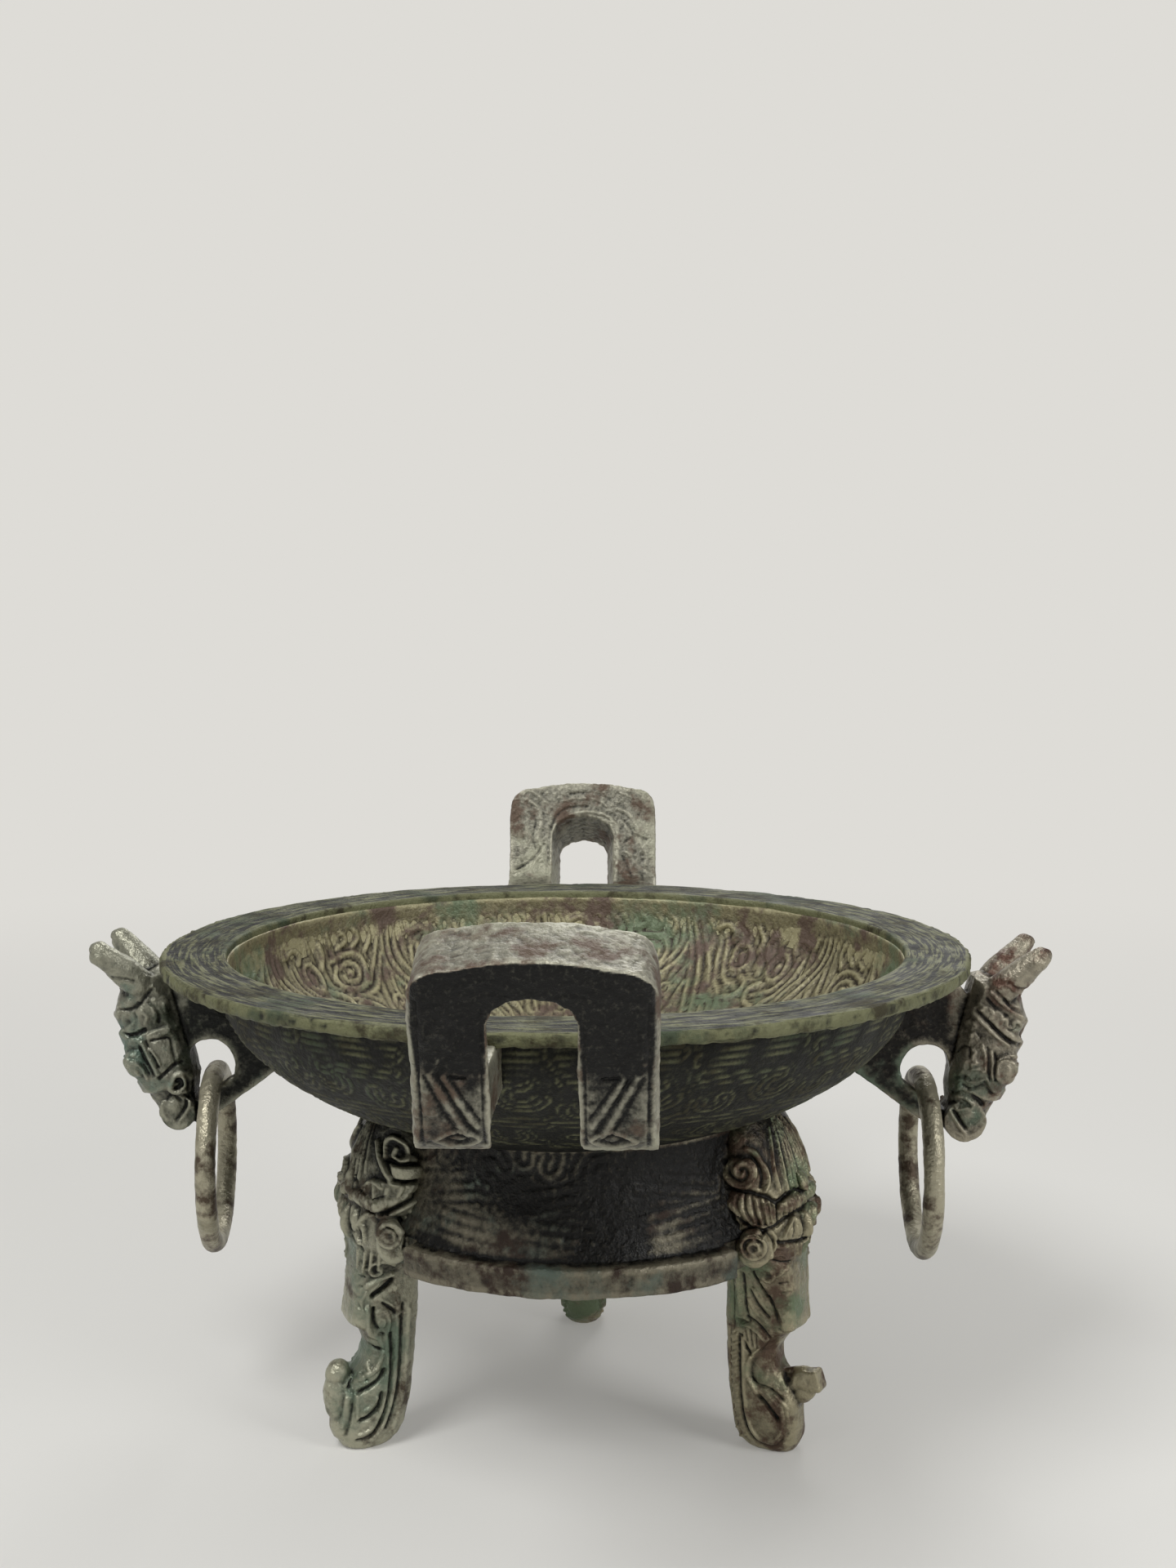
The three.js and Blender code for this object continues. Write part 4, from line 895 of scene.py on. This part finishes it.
# The heads are cut to lie against the foot by a core as big as it, less the 3 mm they sink in.
core_profile = [(0, 67.9), (foot_radius - 3, 67.9), (foot_radius - 3, 78)]
core_profile += [(foot_wall_radius(z) - 3, z) for z in np.linspace(79, 124, 24)] + [(0, 124), (0, 67.9)]
foot_core = turn_on_the_wheel("foot_core", core_profile, 90)
right_leg_colours = ("#1c180f", "#a39b80", "#6c7a5f", 0.3, "#5b4a3c", 0.5, 13)
left_leg_colours = ("#181a13", "#a8a691", "#6b7867", 0.34, "#4e4538", 0.42, 15)
for name, node, leg_turn, splay, eye_at, colours in (
    ("rear_leg", "leg_rear", 0.0, 0.0, (24.9, -1.1, 77.6), right_leg_colours),
    ("front_left_leg", "leg_front_left", 117.0, 4.0, (24.0, 0.2, 80.0), left_leg_colours),
    ("front_right_leg", "leg_front_right", -117.0, 0.0, (24.9, -1.1, 77.6), right_leg_colours),
):
    left = node == "leg_front_left"
    trunk = raise_by_rows(rows_between(np.r_[0, 1:44:1.2, 44.2, 45.2, 47:67.9:1.5, 67.9], trunk_rows))
    head = raise_by_rows(rows_between(np.linspace(60, 122, 44), head_rows), 72)
    head.data.transform(Matrix.Translation((0, leg_circle * mm, 0)))
    apply_modifier(head, "BOOLEAN", operation="DIFFERENCE", object=foot_core)
    head.data.transform(Matrix.Translation((0, -leg_circle * mm, 0)))
    parts = [trunk, head]
    x, y, z = eye_at
    for side in (-1, 1):
        out_turn = side * 22
        parts += [
            lump((side * (x - 3.2), y - 1.2, z), (4.2, 5.0, 5.0), (0, side * 6, out_turn)),
            hoop((side * (x + 0.4), y + 0.1, z), 4.0, 0.8, (0, 90 + side * 6, out_turn)),
            hoop((side * (x + 0.8), y + 0.3, z - 0.2), 1.8, 0.65, (0, 90 + side * 6, out_turn)),
            lump((side * 20.8, -2.6, 75.6), (2.3, 6.2, 6.6), (0, 0, out_turn)),
            lump((side * 19.0, -4.4, 87.8), (3.0, 8.6, 4.6), (-12, 0, side * 16)),
            lump((side * 19.0, -9.0, 99.4), (2.8, 5.4, 5.4)),
            lump((side * 9.0, 4.2, 88.3), (7.0, 2.2, 2.8), (0, side * 4, side * -16)),
            lump((side * 8.2, 4.2, 80.2), (5.0, 2.6, 4.0), (0, 0, side * -16)),
        ]
    parts += [lump((0, 2.6, 91.4), (2.2, 5.4, 6.6)), lump((0, 4.2, 78.2), (2.4, 5.6, 6.7))]
    # The trunk's tip: curled up in a knob on the left leg, a squared block on a short neck on the others.
    if left:
        parts += [
            lump((0, 6.6, 26.0), (4.2, 4.2, 4.6)), lump((0, 6.6, 17.5), (5.0, 4.6, 9.0), (-8, 0, 0)),
            lump((0, 3.0, 9.0), (6.0, 5.6, 7.0)),
        ]
    else:
        parts += [
            lump((0, 4.0, 24.4), (4.0, 4.6, 5.6), (-74, 0, 0), "bar"),
            lump((0, 7.2, 21.6), (3.7, 4.0, 4.8), (-35, 0, 0)),
            lump((0, 9.6, 25.6), (3.4, 3.9, 3.5), (14, 0, 0), "block"),
        ]
    leg = cast_in_one(parts, name, 0.44, 3)
    places, normals = corners_of(leg)
    if left:
        # Its head and nose stand 2 mm less far forward.
        back_by = np.clip((places[:, 1] + 14) / 16, 0, 1) * np.clip((places[:, 2] - 30) / 12, 0, 1)
        places[:, 1] -= 2.0 * back_by
        leg.data.vertices.foreach_set("co", (places * mm).ravel())
    beside = np.clip(np.abs(normals[:, 0]) * 2.2 - 0.5, 0, 1) * np.clip((70 - places[:, 2]) / 3, 0, 1)
    out, up = places[:, 1], places[:, 2]
    way_round = 20 * np.arctan2(np.abs(places[:, 0]), out + 8)
    on_head = np.clip((up - 60) / 3, 0, 1) * np.clip(1.5 - np.abs(normals[:, 2]) * 1.3, 0, 1)
    height = beside * drawn(out, up, left_trunk_strokes if left else right_trunk_strokes)
    height += on_head * drawn(way_round, up, left_head_strokes if left else right_head_strokes)
    if left:
        height += beside * plateau(out, up, left_nose_field, 0.8, 1.0)
        height += on_head * plateau(way_round, up, left_leaf_field, 1.2, 1.2)
        height += on_head * plateau(way_round, up, left_box_field, 1.2, 1.0)
    else:
        height += beside * plateau(out, up, bridge_field, 0.9)
        height += beside * plateau(out, up, curl_field, -0.9, 1.6)
        for field, rise in ((brow_field, 0.6), (fore_field, 0.5), (diamond_field, 0.5)):
            height += on_head * plateau(way_round, up, field, rise)
    height += 0.14 * rough(places, 2.4, 31, 2) + 0.3 * rough(places, 9.0, 32, 1)
    # Painted shade darkens the top of the head under the basin, and painted light brightens the foot of the
    # trunk.
    in_shade = np.clip((up - 96) / 14, 0, 1) * 0.5 - 0.16 * np.clip((62 - up) / 6, 0, 1)
    chase(leg, height, reach=1.8, contrast=0.95, shade_and_tone=in_shade)
    places, _ = corners_of(leg)
    places[:, 1] += leg_circle + splay * np.clip(1 - places[:, 2] / stand_height, 0, 1)
    places[:, 2] = np.maximum(places[:, 2], 0)
    from_middle, _ = polar(places)
    # The crown ends 1.4 mm inside the basin's wall.
    basin_curve = np.array([basin_wall(t) for t in wall_shares(60)[::-1]])
    under_basin = np.interp(from_middle, basin_curve[:, 0], basin_curve[:, 1])
    places[:, 2] = np.minimum(places[:, 2], under_basin + 1.4)
    move_to(leg, places)
    round_foot = Matrix.Rotation(math.radians(leg_turn), 4, "Z")
    leg.data.transform(Matrix.Translation((foot_shift * mm, 0, 0)) @ round_foot)
    leg.data.update()
    leg.data.materials.append(cast_bronze(name + "_green_tan_bronze", *colours, 0.34, 0.55))
    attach(leg, "vessel")
    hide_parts(node)
bpy.data.objects.remove(foot_core)


# Ring lugs
# Two horned beast heads on sloping arms from under the lip, the snout hanging clear of the ring that
# the arm's loop carries. They are solid castings with saw-tooth bands and red-brown patches.
# Strokes on the side of a head, as outward from the basin's middle and up.
right_lug_strokes = [
    (0.8, -1, 148.6, 152.9, 151.6, 150, 153.6, 148, 155.8, 146.4, 158.4, 145.3),
    (0.8, 1, 147.4, 152.4, 150.5, 149.2, 152.7, 147.3, 154.8, 145.5, 157.2, 144.2, 159.5, 143),
    (1, -1.4, 142.4, 145.8, 145.5, 142.8, 147.7, 140.7, 150, 138.4, 152.9, 136, 155.3, 134.4, 158.6, 133),
    (0.9, 1, 141.6, 145, 144.4, 142, 146.6, 139.7, 148.7, 137.6, 151, 135.6, 153.7, 133.6),
    (0.8, 1, 151.1, 141.7, 151.9, 143, 153, 142.4, 152.8, 140.9, 154.1, 139.9, 155.5, 140.2, 155.7, 141.7,
     157, 141.7, 158.2, 140.3, 157.3, 139.2, 155.6, 138.7),
    (0.9, 0.8, 147.4, 146.3, 148.2, 144.3, 147, 143.3), (0.8, 0.8, 149.8, 145.9, 151.5, 144.7, 151, 143.5),
    (0.8, 0.7, 143.9, 148, 145, 147, 143.6, 145.9),
    (0.7, -0.8, 146, 150, 148.4, 147.4, 150.6, 145.6, 153, 144),
    (0.8, 0.9, 153.2, 155.2, 155.5, 153.2, 158.4, 152.4),
    (0.8, -0.9, 152.6, 156.2, 155.4, 154.4, 158.6, 153.8),
    (0.9, 1, 158.6, 126, 157.4, 128.6, 155, 129.9, 152.6, 129.6, 150.4, 128.4, 149.6, 125.7, 150, 122.9,
     151.4, 121.2),
    (0.8, 0.9, 144.6, 133.3, 145.5, 130.6, 145.8, 128.3),
    (0.7, 0.8, 145.7, 127.1, 146, 125.1, 144.9, 124.6),
    (0.8, 0.9, 147.6, 131.5, 148.2, 128, 148, 125, 148.4, 122),
    (0.6, -0.8, 146.5, 133, 147.1, 129.1, 146.9, 125.1, 147.6, 121.6),
    (0.6, -0.8, 149.1, 131.4, 149.4, 128, 149.1, 124.6, 149.4, 121.4),
    (0.8, 0.7, 139.9, 140.6, 141.5, 141.7, 142.7, 140.2), (0.8, 0.8, 140.9, 136.9, 142.2, 137.3, 143, 136),
    (0.7, -0.8, 137, 130.6, 138.9, 132.8, 140.3, 132.2, 140.5, 129.7),
    (0.8, 0.8, 141.3, 132, 142.2, 130.9, 141.3, 129.7, 142, 128.4, 142.7, 127.4, 141.2, 126.8),
    (0.8, 0.8, 141.2, 125.2, 143.2, 125.4), (0.7, -0.8, 136.6, 121.8, 138.8, 122.2, 140.5, 121.3),
    (0.9, 1, 139.9, 121.1, 141.6, 120.4, 143.5, 121.1, 145.1, 121.6),
    (0.8, -1, 138.6, 119.2, 140.5, 118, 142.7, 118.4, 145.2, 119.6),
    (0.8, 1, 146.4, 121.6, 147.8, 119, 149.3, 117.2, 151.4, 115.6),
    (0.7, -0.9, 145.6, 120.9, 146.8, 118.4, 148.5, 116.2),
    (1, -1.3, 135, 115.2, 137.9, 116.3, 140.6, 115.6, 143.7, 113.9, 146, 111.6),
    (0.9, 1.1, 134.2, 112.6, 134.4, 110, 136, 107.2, 137.8, 104.3, 140, 101.5),
    (0.8, -1.2, 135.4, 111, 136.9, 107.9, 138.7, 105, 140, 103.4),
    (0.8, 0.9, 135.2, 113.6, 136.7, 114.8, 138.8, 114.4, 140.6, 113.6, 142, 112.4),
    (0.6, -0.8, 136, 112.4, 137, 111.6, 138.3, 112.3),
    (0.8, 1, 135.5, 110.5, 137.4, 109.9, 139.6, 110.5, 141.4, 110.2, 142.7, 111.8),
    (0.6, 0.6, 137, 101.8, 140, 100.6, 143.6, 101.6, 146.4, 104.6),
]
left_lug_strokes = [
    (0.9, -1.2, 158.8, 144, 155.5, 144.1, 152.5, 144.5, 150.2, 145.6, 147.8, 148.6, 145.4, 151.6),
    (0.8, 0.9, 149, 147.6, 147, 149.9, 145, 152.6), (0.8, -0.8, 158, 156.2, 154, 155.9, 150.6, 155.2),
    (1, -1.4, 156.6, 135.6, 153.6, 134.9, 150.6, 135.6, 147.8, 137),
    (1, 1.1, 146.4, 134.9, 144.4, 136.1, 141.5, 136.9, 138, 137),
    (0.7, -0.7, 156.2, 143, 157, 139.4, 155, 136.4), (0.7, -0.7, 151.2, 143.3, 150.4, 140.5, 151.6, 137.2),
    (0.8, 0.8, 148.6, 144, 146.8, 142, 147.6, 139.4), (0.8, 0.7, 144.8, 145, 143.4, 142.4, 144.4, 140),
    (0.8, 0.7, 141.2, 146, 140.4, 143), (0.7, -0.6, 146, 147, 143, 143.6, 142.8, 139.6),
    (1.1, 1.2, 152.8, 133.4, 150.1, 133.5, 148, 131.6, 146.6, 128.1, 145, 124.6, 143.5, 121.3),
    (0.8, 0.9, 146.2, 130.4, 144.2, 128.2, 142.6, 125),
    (0.7, -0.9, 147.4, 132.9, 146, 129.6, 144.2, 126.7, 143.2, 123.6),
    (1, 1.1, 152, 126.2, 149.8, 125.6, 148.2, 123, 147.4, 119.8), (0.8, 0.8, 150.8, 122.6, 149.7, 121),
    (0.7, -1, 153, 127.6, 150.4, 126.8, 148.4, 124.8, 146.8, 121.2),
    (0.7, -1, 149.6, 131, 147.8, 127.5, 146.1, 124, 145.1, 120.6),
    (0.8, 0.9, 146.4, 134.2, 142.6, 135.3, 139.4, 135.7, 137.6, 133.8),
    (0.7, -0.9, 145.3, 133.4, 142.6, 133.9, 139.8, 134.1, 138.7, 132.8, 138.3, 129.9, 137.6, 127.2),
    (0.9, 0.9, 137.8, 133.9, 137.1, 130.5, 136.3, 127.2),
    (1, -1.4, 143, 119.8, 140.6, 121.5, 138.9, 123.1, 137.3, 124.6, 135.8, 125),
    (1, 1.2, 139.6, 115.4, 138.9, 118.1, 137.9, 120.1, 135.7, 121, 133.6, 119.6, 132.9, 117, 133.2, 114),
    (1, 1, 139.6, 117.4, 139.3, 115.2, 137.5, 113.8, 135.2, 114),
    (1.2, -1.4, 137.2, 118.4, 136.2, 118.4, 135.8, 117.2),
    (0.9, 1.1, 133.5, 112.2, 133.2, 109.5, 134.7, 106.6, 137, 103.4),
    (0.8, -1, 134.6, 111.6, 134.6, 109.4, 136, 106.6, 138, 104), (0.7, 0.7, 145.7, 117.5, 144.9, 116.7),
    (0.7, -0.7, 141.4, 111.5, 139, 113.2, 136.4, 111), (0.7, 0.6, 141.2, 104, 143, 107, 143, 110.4),
]
left_lug_colours = ("#171913", "#949382", "#5f7468", 0.44, "#454a3d", 0.42, 17)
right_lug_colours = ("#1e1912", "#9b9482", "#5f6c5c", 0.22, "#553d31", 0.42, 19)
for node, name, local_turn, strokes, out_by, up_by, colours in (
    ("lug_left", "left_lug", -90, left_lug_strokes, -1.2, 0.4, left_lug_colours),
    ("lug_right", "right_lug", 90, right_lug_strokes, 0.0, 0.0, right_lug_colours),
):
    to_local = Matrix.Rotation(math.radians(local_turn), 4, "Z")
    solid = packed_shape(node, name)
    solid.data.transform(to_local)
    parts = [solid, lump((0, 140.4 + out_by, 108.6 + up_by), (9.4, 6.6, 7.0))]
    for side in (-1, 1):
        parts += [
            lump((side * 8.4, 147.6 + out_by, 127.5 + up_by), (4.2, 9.4, 13), (-15, 0, 0)),
            lump((side * 8.0, 149.4 + out_by, 143.5 + up_by), (4.6, 8.4, 6.4), (-15, 0, 0)),
        ]
        # A horn, of balls that taper from 5.4 to 3.4 mm.
        for reach in np.linspace(0, 1, 11):
            thick = 5.4 - 2.0 * reach**1.6
            at = (side * (9.0 + 4.6 * reach), 151.8 + out_by + 12 * reach, 153.2 + up_by + 12 * reach)
            parts.append(lump(at, (thick,) * 3))
        parts.append(lump((side * 12.0, 152.8 + out_by, 125.7 + up_by), (2.4, 3.7, 3.8)))
        if node == "lug_right":
            parts.append(hoop((side * 13.2, 153.0, 125.7), 3.0, 0.65))
            parts.append(lump((side * 13.8, 153.4, 125.2), (1.0, 1.4, 1.9)))
        else:
            parts.append(hoop((side * 9.2, 137.8, 117.4), 3.0, 0.8))
    lug = cast_in_one(parts, name, 0.46, 5)
    places, normals = corners_of(lug)
    beside = np.clip(np.abs(normals[:, 0]) * 2.4 - 0.6, 0, 1) * (np.abs(places[:, 0]) > 5.5)
    height = 0.75 * beside * drawn(places[:, 1], places[:, 2], strokes)
    over_front = np.clip(normals[:, 1] * 3 - 1.5, 0, 1) * (places[:, 1] > 140)
    teeth = 0.4 * np.cos(places[:, 0] * 2 * math.pi / 4.4) * (np.mod(places[:, 2], 15) < 7)
    height += over_front * teeth + 0.16 * rough(places, 2.4, 21, 2) + 0.3 * rough(places, 7.0, 22, 1)
    # The arm under the lip is painted darker, as painted shade from the lip above it.
    on_arm = np.clip((136 - places[:, 1]) / 3, 0, 1)
    chase(lug, height, reach=1.8, contrast=1.1, shade_and_tone=0.5 * on_arm)
    lug.data.transform(to_local.inverted())
    lug.data.update()
    lug.data.materials.append(cast_bronze(name + "_patched_bronze", *colours, 0.34, 0.55))
    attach(lug, "vessel")
    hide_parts(node)


# Rings
# A round bronze bar of 7.4 mm bent into a closed ring 68 mm across, which hangs free in each loop.
# Handling has worn the rings to a paler tan than the rest, with dark pits left in it.
for node, name, side, ring_turn, body in (
    ("ring_left", "left_ring", -1, 6, "left_ring"), ("ring_right", "right_ring", 1, 0, "right_ring")
):
    bpy.ops.mesh.primitive_torus_add(
        major_radius=30.3 * mm, minor_radius=3.7 * mm, major_segments=260, minor_segments=44,
        rotation=(0, math.pi / 2, 0),
    )
    ring = bpy.context.object
    ring.name = name
    bpy.ops.object.transform_apply(location=True, rotation=True, scale=True)
    turned = Matrix.Rotation(math.radians(ring_turn), 4, "Z")
    ring.data.transform(Matrix.Translation((side * 126 * mm, 0, 88.7 * mm)) @ turned)
    bpy.ops.object.shade_smooth()
    places, _ = corners_of(ring)
    uneven = rough(places, 9.0, 20 + side, 2)
    chase(ring, 0.16 * uneven - 0.12 + 0.1 * rough(places, 2.2, 24 + side, 2))
    ring_colours = ("#26221a", "#aba58f", "#6d6a55", 0.26, "#54473a", 0.46, 23 + side)
    ring.data.materials.append(cast_bronze(name + "_worn_bronze", *ring_colours, 0.36, 0.55))
    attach(ring, body)
    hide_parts(node)
